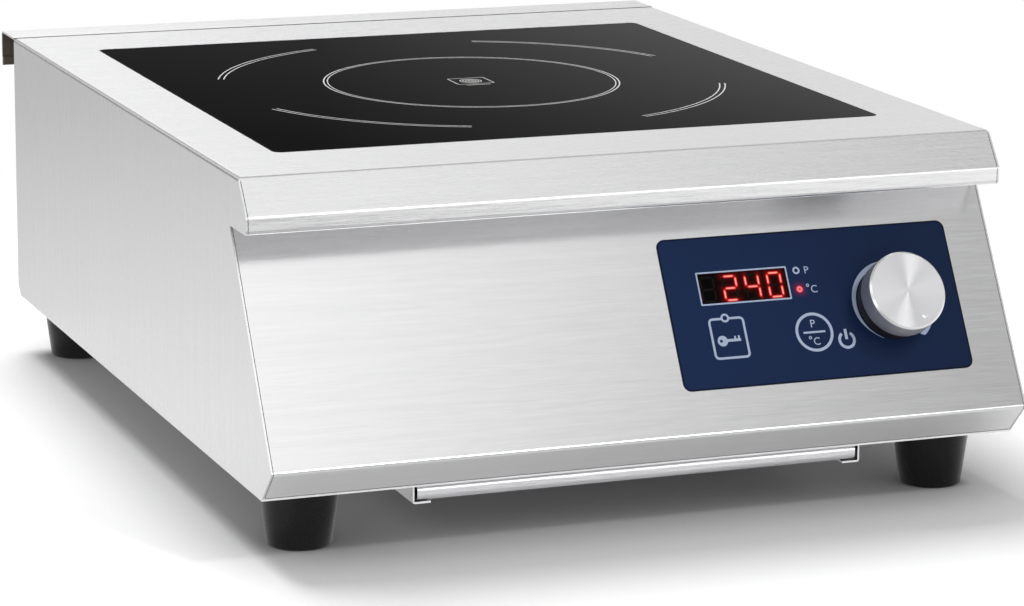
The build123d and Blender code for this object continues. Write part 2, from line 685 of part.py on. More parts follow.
# ---- Fan, filter and rails --------------------------------------------------------------------
FAN_TOP = BASE_TOP + FAN_DEPTH
FAN_SPINDLE_R = 2.0
STATOR = 4.0


def fan_housing():
    """The square frame with its motor plate and struts on the outlet side."""
    frame = rounded_block(FAN_SIZE, FAN_SIZE, 0, FAN_Y, BASE_TOP, FAN_TOP, 2 * STATOR)
    frame = frame - rod(0, FAN_Y, BASE_TOP - SHEET, FAN_TOP + SHEET, FAN_BORE_R)
    motor = rod(0, FAN_Y, FAN_TOP - STATOR, FAN_TOP, FAN_HUB_R)
    for turn in (45, 135):
        strut = Pos(0, FAN_Y, FAN_TOP - STATOR / 2) * Rot(0, 0, turn)
        motor = motor + strut * Box(2 * FAN_BORE_R + STATOR, STATOR, STATOR)
    return frame + motor - rod(0, FAN_Y, BASE_TOP, FAN_TOP - SHEET, FAN_SPINDLE_R + RUNNING)


def fan_impeller():
    """The hub, its blades and the spindle that runs in the motor plate."""
    low = BASE_TOP + STATOR
    high = FAN_TOP - STATOR - 2 * SEAM
    hub = rod(0, FAN_Y, low, high, FAN_HUB_R)
    hub = fillet(hub.edges().group_by(Axis.Z)[0], STATOR / 2)
    tip = FAN_BORE_R - FAN_TIP_GAP
    blade = Pos((FAN_HUB_R + tip) / 2 - SHEET, 0, 0) * Rot(38, 0, 0) * Box(tip - FAN_HUB_R, 30, 1.6)
    reach = rod(0, 0, -FAN_DEPTH, FAN_DEPTH, tip)
    for index in range(FAN_BLADES):
        place = Pos(0, FAN_Y, (low + high) / 2) * Rot(0, 0, index * 360 / FAN_BLADES)
        hub = hub + place * (blade & reach)
    return hub + rod(0, FAN_Y, high, FAN_TOP - 2 * SHEET, FAN_SPINDLE_R)


def filter_frame():
    """The aluminium frame of the air filter, rounded at its front and back edges."""
    rear = FILTER_FRONT + FILTER_LENGTH
    high = FILTER_LOW + FILTER_THICKNESS
    half = FILTER_WIDTH / 2
    frame = block(-half, half, FILTER_FRONT, rear, FILTER_LOW, high)
    frame = fillet(frame.edges().filter_by(Axis.X), FILTER_EDGE_R)
    rim = FILTER_RIM
    frame = frame - block(-half + rim, half - rim, FILTER_FRONT + rim, rear - rim, 0, BASE_TOP)
    groove = (FILTER_THICKNESS - 4 * SHEET) / 2
    return frame - block(
        -half + rim / 2,
        half - rim / 2,
        FILTER_FRONT + rim / 2,
        rear - rim / 2,
        FILTER_LOW + groove,
        high - groove,
    )


def filter_mesh():
    """The filter pad, clamped in the groove of its frame."""
    inset = FILTER_RIM / 2 + SEAM
    groove = (FILTER_THICKNESS - 4 * SHEET) / 2 + SEAM / 3
    half = FILTER_WIDTH / 2 - inset
    return block(
        -half,
        half,
        FILTER_FRONT + inset,
        FILTER_FRONT + FILTER_LENGTH - inset,
        FILTER_LOW + groove,
        FILTER_LOW + FILTER_THICKNESS - groove,
    )


def filter_rail(side):
    """A folded rail: weld flange under the base plate, web, and the lip the filter slides on."""
    y0, y1 = FILTER_FRONT, FILTER_FRONT + FILTER_LENGTH + SHEET
    web = RAIL_IN + SHEET
    rail = block(RAIL_IN, web, y0, y1, RAIL_LOW, BASE_LOW)
    rail = rail + block(web - SHEET - RAIL_LIP, web, y0, y1, RAIL_LOW, RAIL_LOW + SHEET)
    rail = rail + block(RAIL_IN, web + RAIL_WELD, y0, y1, BASE_LOW - SHEET, BASE_LOW)
    outer = rail.edges().filter_by(Axis.Y).group_by(Axis.Z)[0].sort_by(Axis.X)[-1]
    rail = fillet(outer, SHEET * 1.4)
    return rail if side > 0 else mirror(rail, about=Plane.YZ)


# ---- Feet -------------------------------------------------------------------------------------
def foot_places():
    return [(x * FOOT_X, y) for y in (FOOT_FRONT_Y, FOOT_REAR_Y) for x in (-1, 1)]


def foot(x, y):
    """A tapered rubber foot with a socket for its screw."""
    body = Pos(x, y, 0) * Cone(
        FOOT_BOTTOM_R, FOOT_TOP_R, BASE_LOW, align=(Align.CENTER, Align.CENTER, Align.MIN)
    )
    body = fillet(body.edges().group_by(Axis.Z)[0], SHEET)
    body = body - rod(x, y, -SHEET, FOOT_SOCKET_DEPTH, FOOT_SOCKET_R)
    return body - rod(x, y, 0, BASE_LOW + SHEET, FOOT_SCREW_R + RUNNING)


def foot_screws():
    """Screws up through the feet into nuts on the base plate."""
    parts = []
    for x, y in foot_places():
        head = rod(x, y, FOOT_SOCKET_DEPTH - 3 * SHEET, FOOT_SOCKET_DEPTH, FOOT_SOCKET_R - SHEET)
        stem = rod(x, y, FOOT_SOCKET_DEPTH, BASE_TOP + 6 * SHEET, FOOT_SCREW_R)
        parts.append(head + stem)
    return Compound(parts)


def foot_nuts():
    parts = []
    for x, y in foot_places():
        nut = extrude(Pos(x, y, BASE_TOP) * RegularPolygon(2 * FOOT_SCREW_R, 6), 4 * SHEET)
        parts.append(nut - rod(x, y, BASE_TOP - SHEET, BASE_TOP + 5 * SHEET, FOOT_SCREW_R + RUNNING))
    return Compound(parts)


# ---- Power electronics ------------------------------------------------------------------------
def power_standoff_places():
    inset = 2 * POST_R
    return [
        (x * (POWER_BOARD_WIDTH / 2 - inset), y)
        for x in (-1, 1)
        for y in (POWER_FRONT + inset, POWER_REAR - inset)
    ]


def power_board():
    half = POWER_BOARD_WIDTH / 2
    return block(-half, half, POWER_FRONT, POWER_REAR, POWER_TOP - BOARD, POWER_TOP)


def power_standoffs():
    places = power_standoff_places()
    return Compound([rod(x, y, BASE_TOP, POWER_TOP - BOARD, POST_R) for x, y in places])


def sink_centre_y():
    return POWER_FRONT + SHEET * 4 + HEAT_SINK[1] / 2


def power_transistors():
    """The power switches and the rectifier, clamped under the heat sink."""
    y = sink_centre_y()
    spread = HEAT_SINK[0] / 3
    return Compound(
        [
            block(x - DEVICE[0] / 2, x + DEVICE[0] / 2, y - DEVICE[1] / 2, y + DEVICE[1] / 2,
                  POWER_TOP, POWER_TOP + DEVICE[2])
            for x in (-spread, 0, spread)
        ]
    )


def heat_sink():
    """The finned aluminium block in the fan's air stream."""
    width, depth, height = HEAT_SINK
    y = sink_centre_y()
    low = POWER_TOP + DEVICE[2]
    sink = block(-width / 2, width / 2, y - depth / 2, y + depth / 2, low, low + HEAT_SINK_BASE)
    pitch = (width - FIN) / (HEAT_SINK_FINS - 1)
    for index in range(HEAT_SINK_FINS):
        x = -width / 2 + FIN / 2 + index * pitch
        sink = sink + block(x - FIN / 2, x + FIN / 2, y - depth / 2, y + depth / 2, low, low + height)
    return sink


def choke_coil():
    """The filter choke, a wound ring standing on the power board."""
    x = -POWER_BOARD_WIDTH / 2 + CHOKE_R + 3 * POST_R
    y = POWER_REAR - CHOKE_R - SHEET
    core = rod(x, y, POWER_TOP, POWER_TOP + CHOKE_HEIGHT, CHOKE_R)
    core = fillet(core.edges(), CHOKE_R / 6)
    return core - rod(x, y, POWER_TOP - SHEET, POWER_TOP + CHOKE_HEIGHT + SHEET, CHOKE_R / 2)


def film_capacitors():
    width, depth, height = CAPACITOR
    x = POWER_BOARD_WIDTH / 2 - 3 * POST_R - width
    rows = []
    for row in range(2):
        y = POWER_REAR - depth - SHEET - row * (depth + 2 * SHEET)
        rows.append(block(x, x + width, y, y + depth, POWER_TOP, POWER_TOP + height))
    return Compound(rows)


# ---- Mains inlet ------------------------------------------------------------------------------
def gland_place(out):
    """A place on the gland's axis, given by its distance out from the back panel."""
    return Pos(HALF - GLAND_SIDE, BACK_Y + out, GLAND_Z) * Rot(-90, 0, 0)


def gland_bore(out0, out1, radius):
    return gland_place((out0 + out1) / 2) * Cylinder(radius, out1 - out0)


def cable_gland():
    """The inlet for the mains lead: hexagon, clamping dome and thread."""
    flange = 6 * SHEET
    body = gland_place(0) * extrude(RegularPolygon(GLAND_HEX / 2, 6, major_radius=False), flange)
    dome = gland_place(flange) * Cone(
        GLAND_HEX / 2 - SHEET, GLAND_HEX / 2 - 3 * SHEET, GLAND_OUT - flange,
        align=(Align.CENTER, Align.CENTER, Align.MIN),
    )
    body = body + dome + gland_bore(-GLAND_IN, 0, GLAND_THREAD_R)
    return body - gland_bore(-GLAND_IN - SHEET, GLAND_OUT + SHEET, GLAND_BORE_R)


def gland_nut():
    nut = gland_place(-5 * SHEET) * extrude(
        RegularPolygon(GLAND_HEX / 2, 6, major_radius=False), 4 * SHEET
    )
    return nut - gland_bore(-6 * SHEET, 0, GLAND_THREAD_R + RUNNING)


def terminal_block():
    """The screw terminals the lead ends in."""
    width, depth, height = TERMINAL
    x = FOOT_X - 4 * FOOT_SCREW_R - width / 2
    y = BACK_Y - FLANGE
    body = block(x - width / 2, x + width / 2, y - depth, y, BASE_TOP, BASE_TOP + height)
    for index in (-1, 0, 1):
        well = rod(x + index * width / 3, y - depth / 2, BASE_TOP + height / 2, BASE_TOP + 2 * height, depth / 5)
        body = body - well
    return body


NODES = {
    "outer_casing": outer_casing,
    "front_panel": front_panel,
    "base_plate": base_plate,
    "rear_panel": rear_panel,
    "rear_deflector": rear_deflector,
    "casing_screws": casing_screws,
    "hood_screws": hood_screws,
    "glass_plate": glass_plate,
    "glass_seal": glass_seal,
    "glass_ledge": glass_ledge,
    "induction_coil": induction_coil,
    "coil_carrier": coil_carrier,
    "ferrite_bars": ferrite_bars,
    "mica_sheet": mica_sheet,
    "temperature_sensor": temperature_sensor,
    "coil_posts": coil_posts,
    "coil_springs": coil_springs,
    "control_overlay": control_overlay,
    "display_window": display_window,
    "display_module": display_module,
    "indicator_leds": indicator_leds,
    "control_board": control_board,
    "board_standoffs": board_standoffs,
    "lock_switch": lambda: key_switch(LOCK_KEY),
    "mode_switch": lambda: key_switch(MODE_KEY),
    "lock_key": lambda: key_plunger(LOCK_KEY),
    "mode_key": lambda: key_plunger(MODE_KEY),
    "knob_regulator": knob_regulator,
    "regulator_nut": regulator_nut,
    "knob_shaft": knob_shaft,
    "knob_cap": knob_cap,
    "knob_insert": knob_insert,
    "fan_housing": fan_housing,
    "fan_impeller": fan_impeller,
    "filter_frame": filter_frame,
    "filter_mesh": filter_mesh,
    "filter_rail_left": lambda: filter_rail(-1),
    "filter_rail_right": lambda: filter_rail(1),
    "foot_front_left": lambda: foot(*foot_places()[0]),
    "foot_front_right": lambda: foot(*foot_places()[1]),
    "foot_rear_left": lambda: foot(*foot_places()[2]),
    "foot_rear_right": lambda: foot(*foot_places()[3]),
    "foot_screws": foot_screws,
    "foot_nuts": foot_nuts,
    "power_board": power_board,
    "power_standoffs": power_standoffs,
    "power_transistors": power_transistors,
    "heat_sink": heat_sink,
    "choke_coil": choke_coil,
    "film_capacitors": film_capacitors,
    "cable_gland": cable_gland,
    "gland_nut": gland_nut,
    "terminal_block": terminal_block,
}


def main():
    os.makedirs("parts", exist_ok=True)
    for name, make in NODES.items():
        export_step(make(), f"parts/{name}.step")


if __name__ == "__main__":
    main()
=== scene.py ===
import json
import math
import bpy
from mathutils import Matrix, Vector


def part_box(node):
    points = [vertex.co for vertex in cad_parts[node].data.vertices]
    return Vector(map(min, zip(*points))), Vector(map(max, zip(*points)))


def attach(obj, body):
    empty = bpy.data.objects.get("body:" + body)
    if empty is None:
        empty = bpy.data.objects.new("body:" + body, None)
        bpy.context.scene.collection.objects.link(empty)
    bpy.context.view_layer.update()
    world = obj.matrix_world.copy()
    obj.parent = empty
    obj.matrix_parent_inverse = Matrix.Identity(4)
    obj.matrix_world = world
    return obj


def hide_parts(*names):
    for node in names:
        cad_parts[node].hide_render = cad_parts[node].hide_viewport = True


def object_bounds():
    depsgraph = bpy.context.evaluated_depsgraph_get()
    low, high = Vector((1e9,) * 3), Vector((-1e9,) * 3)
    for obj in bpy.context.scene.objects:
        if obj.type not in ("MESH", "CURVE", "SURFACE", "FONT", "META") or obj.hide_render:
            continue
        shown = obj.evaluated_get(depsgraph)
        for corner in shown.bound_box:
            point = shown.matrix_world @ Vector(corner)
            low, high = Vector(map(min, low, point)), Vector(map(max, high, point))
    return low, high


bl_info = {
    "name": "Countertop induction hob",
    "version": (1, 0, 0),
    "blender": (4, 5, 0),
    "location": "3D View > Sidebar > Hob",
    "description": "Finishes the pieces of a countertop induction hob around its packed frame",
    "category": "Add Mesh",
}

import bmesh
import bpy
from bpy.props import FloatProperty, FloatVectorProperty, IntProperty, PointerProperty
from mathutils import Matrix, Vector

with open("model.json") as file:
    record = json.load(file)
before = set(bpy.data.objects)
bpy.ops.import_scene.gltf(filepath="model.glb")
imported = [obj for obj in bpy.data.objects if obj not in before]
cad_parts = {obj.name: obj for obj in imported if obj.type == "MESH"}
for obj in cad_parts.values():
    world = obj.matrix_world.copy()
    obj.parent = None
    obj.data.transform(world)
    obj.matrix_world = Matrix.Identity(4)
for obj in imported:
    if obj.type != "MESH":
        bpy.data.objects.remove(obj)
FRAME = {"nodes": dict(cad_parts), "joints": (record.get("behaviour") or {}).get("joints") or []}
CAD_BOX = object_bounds()

MM = 0.001
TAU = 2 * math.pi
X = Vector((1, 0, 0))


# ---- The panel's own directions, from the knob's axis -------------------------------------------
KNOB_JOINT = next(j for j in FRAME["joints"] if j["name"] == "knob_turn")
KNOB_POINT = Vector(KNOB_JOINT["pos_m"])
PANEL_OUT = Vector(KNOB_JOINT["axis"]).normalized()
PANEL_DOWN = Vector((0, -PANEL_OUT.z, PANEL_OUT.y))
OVERLAY_LOW, OVERLAY_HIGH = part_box("control_overlay")
OVERLAY_WIDTH = OVERLAY_HIGH.x - OVERLAY_LOW.x
FILM = 0.4 * MM
# The film's length down the slope comes from its box's height, less the rise of the film itself.
OVERLAY_LENGTH = (OVERLAY_LOW.z + FILM * PANEL_OUT.z - OVERLAY_HIGH.z) / PANEL_OUT.y
OVERLAY_ORIGIN = Vector((OVERLAY_LOW.x, OVERLAY_HIGH.y, OVERLAY_HIGH.z - FILM * PANEL_OUT.z))
KNOB_ACROSS = KNOB_POINT.x - OVERLAY_LOW.x
KNOB_DOWN = (KNOB_POINT - OVERLAY_ORIGIN).dot(PANEL_DOWN)


def on_overlay(across, down, height):
    """The place of a point on the overlay, in millimetres from its upper left corner."""
    return OVERLAY_ORIGIN + (X * across + PANEL_DOWN * down + PANEL_OUT * height) * MM


def linear(code):
    """The linear colour of an sRGB hex code."""
    shares = [int(code[i : i + 2], 16) / 255 for i in (1, 3, 5)]
    return tuple(s / 12.92 if s <= 0.04045 else ((s + 0.055) / 1.055) ** 2.4 for s in shares) + (1.0,)


def colour_property(name, code, description):
    return FloatVectorProperty(
        name=name, description=description, subtype="COLOR", size=4, min=0, max=1, default=linear(code)
    )


def length_property(name, value, description):
    return FloatProperty(
        name=name, description=description, default=value * MM, min=0, unit="LENGTH", precision=5
    )


class HobSizes(bpy.types.PropertyGroup):
    edge: length_property("Sheet edge", 0.12, "Width of the rounding on raw sheet edges")
    # Real belt marks stand about 0.1 mm apart, which is too fine to show.
    grain: length_property("Grain", 0.55, "Distance between two brushing marks")
    print_line: length_property("Print line", 0.75, "Width of the lines printed on the glass")
    ring_radius: length_property("Ring radius", 80.6, "Outer ring of the cooking zone")
    arc_radius: length_property("Arc radius", 137.7, "Outer arc that marks the largest pan")
    arc_sweep: FloatProperty(
        name="Arc sweep", description="Angle covered by one arc", default=math.radians(49), subtype="ANGLE"
    )
    arc_count: IntProperty(name="Arcs", description="Number of arcs around the zone", default=4, min=1)
    mesh_pitch: length_property("Filter mesh", 5.0, "Distance between two strands of the expanded mesh")
    strand: length_property("Strand", 0.35, "Half thickness of one strand of the expanded mesh")
    mesh_layers: IntProperty(name="Layers", description="Layers of expanded mesh", default=3, min=1)


class HobColours(bpy.types.PropertyGroup):
    steel: colour_property("Steel", "#E6E6E7", "Brushed stainless sheet")
    film: colour_property("Film", "#1A2D52", "Printed film of the control overlay")
    ink: colour_property("Ink", "#B8C6E0", "Marks printed on the overlay")
    glass: colour_property("Glass", "#050506", "Glass-ceramic surface")
    glass_ink: colour_property("Glass ink", "#C9C9C7", "Marks fired on the glass")
    turned: colour_property("Turned metal", "#EDEDEF", "Knob cap")


# ---- Node and mesh helpers ----------------------------------------------------------------------
def add(tree, kind, settings=None, inputs=None):
    """Adds a node, sets it, and fills or links its inputs."""
    node = tree.nodes.new(kind)
    for key, value in (settings or {}).items():
        setattr(node, key, value)
    for key, value in (inputs or {}).items():
        if isinstance(value, bpy.types.Node):
            value = next(s for s in value.outputs if s.enabled)
        if isinstance(value, bpy.types.NodeSocket):
            tree.links.new(value, node.inputs[key])
        else:
            node.inputs[key].default_value = value
    return node


def new_material(name, sockets, start=None):
    """A named material with one principled shader; start adds its pattern before the shader is set."""
    made = bpy.data.materials.get(name)
    if made:
        return made
    made = bpy.data.materials.new(name)
    made.use_nodes = True
    tree = made.node_tree
    tree.nodes.clear()
    patterned = start(tree) if start else {}
    shader = add(tree, "ShaderNodeBsdfPrincipled", inputs={**sockets, **patterned})
    add(tree, "ShaderNodeOutputMaterial", inputs={"Surface": shader.outputs["BSDF"]})
    made.diffuse_color = sockets.get("Base Color", (0.5, 0.5, 0.5, 1))
    return made


# Kinds and settings of nodes that come up again and again.
MATH = "ShaderNodeMath"
MIX = "ShaderNodeMix"
NOISE = "ShaderNodeTexNoise"
RANGE = "ShaderNodeMapRange"
BUMP = "ShaderNodeBump"
VECTOR_MATH = "ShaderNodeVectorMath"
TIMES = {"operation": "MULTIPLY"}
COLOURS = {"data_type": "RGBA"}
SOFT_EDGE = {"interpolation_type": "SMOOTHSTEP"}
# Most values of a noise lie between these two.
NOISE_SPAN = {"From Min": 0.3, "From Max": 0.7}


def shade(colour, factor):
    return tuple(c * factor for c in colour[:3]) + (1.0,)


def grey(level):
    return (level, level, level, 1.0)


def set_stops(ramp, stops):
    """Gives a colour ramp its grey levels, from (place, level) stops."""
    low, *middle, high = stops
    for element, (place, level) in zip(list(ramp.elements), (low, high)):
        element.position = place
        element.color = grey(level)
    for place, level in middle:
        ramp.elements.new(place).color = grey(level)


def sizes():
    return bpy.context.scene.hob_sizes


def colours():
    return bpy.context.scene.hob_colours


def mesh_object(name, bm, *materials):
    mesh = bpy.data.meshes.new(name)
    bm.to_mesh(mesh)
    bm.free()
    made = bpy.data.objects.new(name, mesh)
    bpy.context.scene.collection.objects.link(made)
    for material in materials:
        mesh.materials.append(material)
    return made


def baked(piece):
    """Applies every modifier of a piece."""
    depsgraph = bpy.context.evaluated_depsgraph_get()
    mesh = bpy.data.meshes.new_from_object(piece.evaluated_get(depsgraph))
    piece.modifiers.clear()
    old = piece.data
    piece.data = mesh
    bpy.data.meshes.remove(old)
    return piece


def settle(piece, body, slot, *nodes):
    """Hangs a finished piece on the body it rides on, and hides the imported parts it stands for."""
    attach(piece, body)
    if nodes:
        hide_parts(*nodes)
    return piece


def smooth(piece, angle):
    """Smooth shading with sharp edges above an angle."""
    for polygon in piece.data.polygons:
        polygon.use_smooth = True
    piece.data.set_sharp_from_angle(angle=math.radians(angle))


def even_normals(piece, angle):
    """Smooth shading that keeps the wide flat faces flat."""
    smooth(piece, angle)
    even = piece.modifiers.new("even", "WEIGHTED_NORMAL")
    even.mode = "FACE_AREA"
    even.weight = 100
    even.keep_sharp = True
    return baked(piece)


def prism(polygons, place, low, high):
    """A closed flat body from outlines that share their corners, between two heights."""
    bm = bmesh.new()
    for outline in polygons:
        area = sum(a[0] * b[1] - b[0] * a[1] for a, b in zip(outline, outline[1:] + outline[:1]))
        turned = outline if area < 0 else outline[::-1]
        bm.faces.new([bm.verts.new(place(x, y, high)) for x, y in turned])
    bmesh.ops.remove_doubles(bm, verts=bm.verts, dist=2e-6)
    top = bm.faces[:]
    under = {}
    drop = place(0, 0, low) - place(0, 0, high)
    for vert in bm.verts[:]:
        under[vert] = bm.verts.new(vert.co + drop)
    loops = [loop for face in top for loop in face.loops]
    rims = [(loop.vert, loop.link_loop_next.vert) for loop in loops if len(loop.edge.link_faces) == 1]
    for face in top:
        bm.faces.new([under[v] for v in reversed(face.verts)])
    for a, b in rims:
        bm.faces.new((b, a, under[a], under[b]))
    bmesh.ops.recalc_face_normals(bm, faces=bm.faces)
    return bm


def joined(bodies):
    """Several closed bodies in one, each left whole."""
    bm = bmesh.new()
    for body in bodies:
        mesh = bpy.data.meshes.new("part")
        body.to_mesh(mesh)
        body.free()
        bm.from_mesh(mesh)
        bpy.data.meshes.remove(mesh)
    return bm


def clock_point(centre, radius, degrees):
    angle = math.radians(degrees)
    return (centre[0] + radius * math.sin(angle), centre[1] - radius * math.cos(angle))


def band(centre, outer, inner, start=0.0, stop=360.0, steps=64):
    """A ring, or a part of one, as quads; angles run clockwise from the top."""
    quads = []
    for i in range(steps):
        a = start + (stop - start) * i / steps
        b = start + (stop - start) * (i + 1) / steps
        quads.append(
            [
                clock_point(centre, outer, a),
                clock_point(centre, outer, b),
                clock_point(centre, inner, b),
                clock_point(centre, inner, a),
            ]
        )
    return quads


def disc(centre, radius, steps=32):
    return [[clock_point(centre, radius, 360 * i / steps) for i in range(steps)]]


def bar(x0, y0, x1, y1):
    return [[(x0, y0), (x1, y0), (x1, y1), (x0, y1)]]


def rounded_outline(x0, y0, x1, y1, radius, steps=8):
    corners = (
        ((x1 - radius, y0 + radius), 0),
        ((x1 - radius, y1 - radius), 90),
        ((x0 + radius, y1 - radius), 180),
        ((x0 + radius, y0 + radius), 270),
    )
    return [clock_point(c, radius, start + 90 * i / steps) for c, start in corners for i in range(steps + 1)]


def frame_band(x0, y0, x1, y1, width, radius):
    """A rounded rectangular frame as quads."""
    outer = rounded_outline(x0, y0, x1, y1, radius)
    inner = rounded_outline(x0 + width, y0 + width, x1 - width, y1 - width, max(radius - width, 0.05))
    count = len(outer)
    return [[outer[i], outer[(i + 1) % count], inner[(i + 1) % count], inner[i]] for i in range(count)]


def lettering(text, x, y, height):
    """Generic letters as flat faces, centred on a place of the overlay."""
    curve = bpy.data.curves.new("letters", "FONT")
    curve.body = text
    curve.align_x = "CENTER"
    curve.resolution_u = 4
    holder = bpy.data.objects.new("letters", curve)
    bpy.context.scene.collection.objects.link(holder)
    flat = bpy.data.meshes.new_from_object(holder.evaluated_get(bpy.context.evaluated_depsgraph_get()))
    xs = [v.co.x for v in flat.vertices]
    ys = [v.co.y for v in flat.vertices]
    scale = height / (max(ys) - min(ys))
    mid_x = (max(xs) + min(xs)) / 2
    mid_y = (max(ys) + min(ys)) / 2
    points = [(x + (v.co.x - mid_x) * scale, y - (v.co.y - mid_y) * scale) for v in flat.vertices]
    faces = [[points[i] for i in polygon.vertices] for polygon in flat.polygons]
    bpy.data.objects.remove(holder)
    bpy.data.curves.remove(curve)
    bpy.data.meshes.remove(flat)
    return faces


def lathe(bm, profile, place, steps=96):
    """Turns a profile of (radius, height) in millimetres about an axis; its UV runs round and along."""
    uv = bm.loops.layers.uv.get("UVMap") or bm.loops.layers.uv.new("UVMap")
    run = [0.0]
    for a, b in zip(profile, profile[1:]):
        run.append(run[-1] + math.dist(a, b))
    rows = []
    for radius, height in profile:
        if radius < 1e-6:
            rows.append([bm.verts.new(place(0, 0, height))] * steps)
            continue
        places = [place(*clock_point((0, 0), radius, 360 * i / steps), height) for i in range(steps)]
        rows.append([bm.verts.new(point) for point in places])
    for r in range(len(profile) - 1):
        for i in range(steps):
            j = (i + 1) % steps
            ring = [
                (rows[r][i], i, r),
                (rows[r][j], i + 1, r),
                (rows[r + 1][j], i + 1, r + 1),
                (rows[r + 1][i], i, r + 1),
            ]
            seen = []
            kept = [c for c in ring if not (c[0] in seen or seen.append(c[0]))]
            if len(kept) < 3:
                continue
            face = bm.faces.new([c[0] for c in kept])
            for loop, (_, step, row) in zip(face.loops, kept):
                loop[uv].uv = (step / steps, run[row])
    bmesh.ops.recalc_face_normals(bm, faces=bm.faces)
    return bm


# ---- Materials ----------------------------------------------------------------------------------
# Densities of the patterns, in marks for each metre of the surface.
BRUSH_ALONG = 45  # a brushing mark runs on for about 22 mm
BAND_ALONG = 7  # a lighter or darker band of marks for about 140 mm
WIPE_MARKS = (14.0, 22.0, 14.0)  # wiping marks on the glass, 45 to 70 mm apart
FINE_GRIT = 900.0  # grit of fired ink and smoked acrylic, 1.1 mm apart
DIODE_GRAIN = 2500.0  # the frosting of a diode's diffuser, 0.4 mm apart
INK_GRAIN = 3000.0  # the mesh of the printing screen, 0.33 mm apart
FILM_GRAIN = 5000.0  # the film's hard coat, 0.2 mm apart
CLOUDS = 35.0  # unevenness of moulded stock, 29 mm apart


def grain_vector(tree, along, across):
    """Object coordinates drawn out along the brushing: along X, and upright on the side sheets."""
    coordinates = add(tree, "ShaderNodeTexCoord")
    split = add(tree, "ShaderNodeSeparateXYZ", inputs={0: coordinates.outputs["Normal"]})
    sideways = add(tree, MATH, {"operation": "ABSOLUTE"}, {0: split.outputs[0]})
    side = add(tree, MATH, {"operation": "GREATER_THAN"}, {0: sideways, 1: 0.7})
    factors = add(
        tree, MIX, {"data_type": "VECTOR"}, {0: side, 4: (along, across, across), 5: (across, across, along)}
    )
    tangent = add(tree, MIX, {"data_type": "VECTOR"}, {0: side, 4: (1, 0, 0), 5: (0, 0, 1)})
    drawn_out = add(tree, VECTOR_MATH, TIMES, {0: coordinates.outputs["Object"], 1: factors})
    return drawn_out, tangent


def brushed_stainless(name="brushed_stainless_304", low=0.24, high=0.34, stretch=0.7):
    """304 stainless sheet brushed with a belt: bright, with fine drawn-out marks and a stretched gloss."""

    def pattern(tree):
        across = 1 / sizes().grain
        fine, tangent = grain_vector(tree, BRUSH_ALONG, across)
        broad, _ = grain_vector(tree, BAND_ALONG, across / 7)
        marks = add(tree, NOISE, inputs={"Vector": fine, "Scale": 1.0, "Detail": 3.0, "Roughness": 0.65})
        bands = add(tree, NOISE, inputs={"Vector": broad, "Scale": 1.0, "Detail": 2.0, "Roughness": 0.5})
        band = add(tree, RANGE, inputs={"Value": bands, "To Max": 0.3})
        lightness = add(tree, MATH, {"operation": "MULTIPLY_ADD"}, {0: marks, 1: 0.7, 2: band})
        share = add(tree, RANGE, inputs={**NOISE_SPAN, "Value": lightness})
        steel = colours().steel
        return {
            "Base Color": add(tree, MIX, COLOURS, {0: share, 6: shade(steel, 0.95), 7: shade(steel, 1.04)}),
            "Roughness": add(tree, RANGE, inputs={**NOISE_SPAN, "Value": marks, "To Min": low, "To Max": high}),
            "Normal": add(tree, BUMP, inputs={"Height": marks, "Strength": 0.055, "Distance": 0.00005}),
            "Tangent": tangent,
        }

    return new_material(name, {"Metallic": 1.0, "Anisotropic": stretch, "Anisotropic Rotation": 0.25}, pattern)


def turned_aluminium():
    """Aluminium turned on a lathe: rings too fine to see, and a gloss that fans out across them."""
    ring_density = (0.0, 2600.0, 0.0)

    def pattern(tree):
        uv = add(tree, "ShaderNodeUVMap", {"uv_map": "UVMap"})
        rings = add(tree, VECTOR_MATH, TIMES, {0: uv, 1: ring_density})
        marks = add(tree, NOISE, inputs={"Vector": rings, "Scale": 1.0, "Detail": 4.0, "Roughness": 0.7})
        share = add(tree, RANGE, inputs={**NOISE_SPAN, "Value": marks})
        metal = colours().turned
        return {
            "Base Color": add(tree, MIX, COLOURS, {0: share, 6: shade(metal, 0.95), 7: shade(metal, 1.1)}),
            "Roughness": add(tree, RANGE, inputs={**NOISE_SPAN, "Value": marks, "To Min": 0.19, "To Max": 0.3}),
            "Normal": add(tree, BUMP, inputs={"Height": marks, "Strength": 0.15, "Distance": 0.00005}),
            "Tangent": add(tree, "ShaderNodeTangent", {"direction_type": "UV_MAP", "uv_map": "UVMap"}),
        }

    return new_material(
        "turned_aluminium_6061", {"Metallic": 1.0, "Anisotropic": 0.95, "Anisotropic Rotation": 0.25}, pattern
    )


def knurled_aluminium():
    """Aluminium rolled with a fine diamond knurl: darker than the turned face, and broken up by its points,
    with painted shade in the valleys between them.
    """
    points_round = 170  # in one turn, about 0.8 mm apart
    points_along = 0.9  # in each millimetre

    def pattern(tree):
        uv = add(tree, "ShaderNodeUVMap", {"uv_map": "UVMap"})
        waves = []
        for lean in (1, -1):
            slant = (points_round * TAU, lean * points_along * TAU, 0)
            run = add(tree, VECTOR_MATH, {"operation": "DOT_PRODUCT"}, {0: uv, 1: slant})
            waves.append(add(tree, MATH, {"operation": "SINE"}, {0: run.outputs["Value"]}))
        points = add(tree, MATH, TIMES, {0: waves[0], 1: waves[1]})
        high = add(tree, RANGE, inputs={"Value": points, "From Min": -1})
        metal = colours().turned
        return {
            # Painted shade: the valleys between the points are darker than their tops.
            "Base Color": add(tree, MIX, COLOURS, {0: high, 6: shade(metal, 0.7), 7: shade(metal, 1.08)}),
            "Roughness": add(tree, RANGE, inputs={"Value": high, "To Min": 0.55, "To Max": 0.45}),
            "Normal": add(tree, BUMP, inputs={"Height": high, "Strength": 0.5, "Distance": 0.0001}),
        }

    return new_material("knurled_aluminium_6061", {"Metallic": 1.0}, pattern)


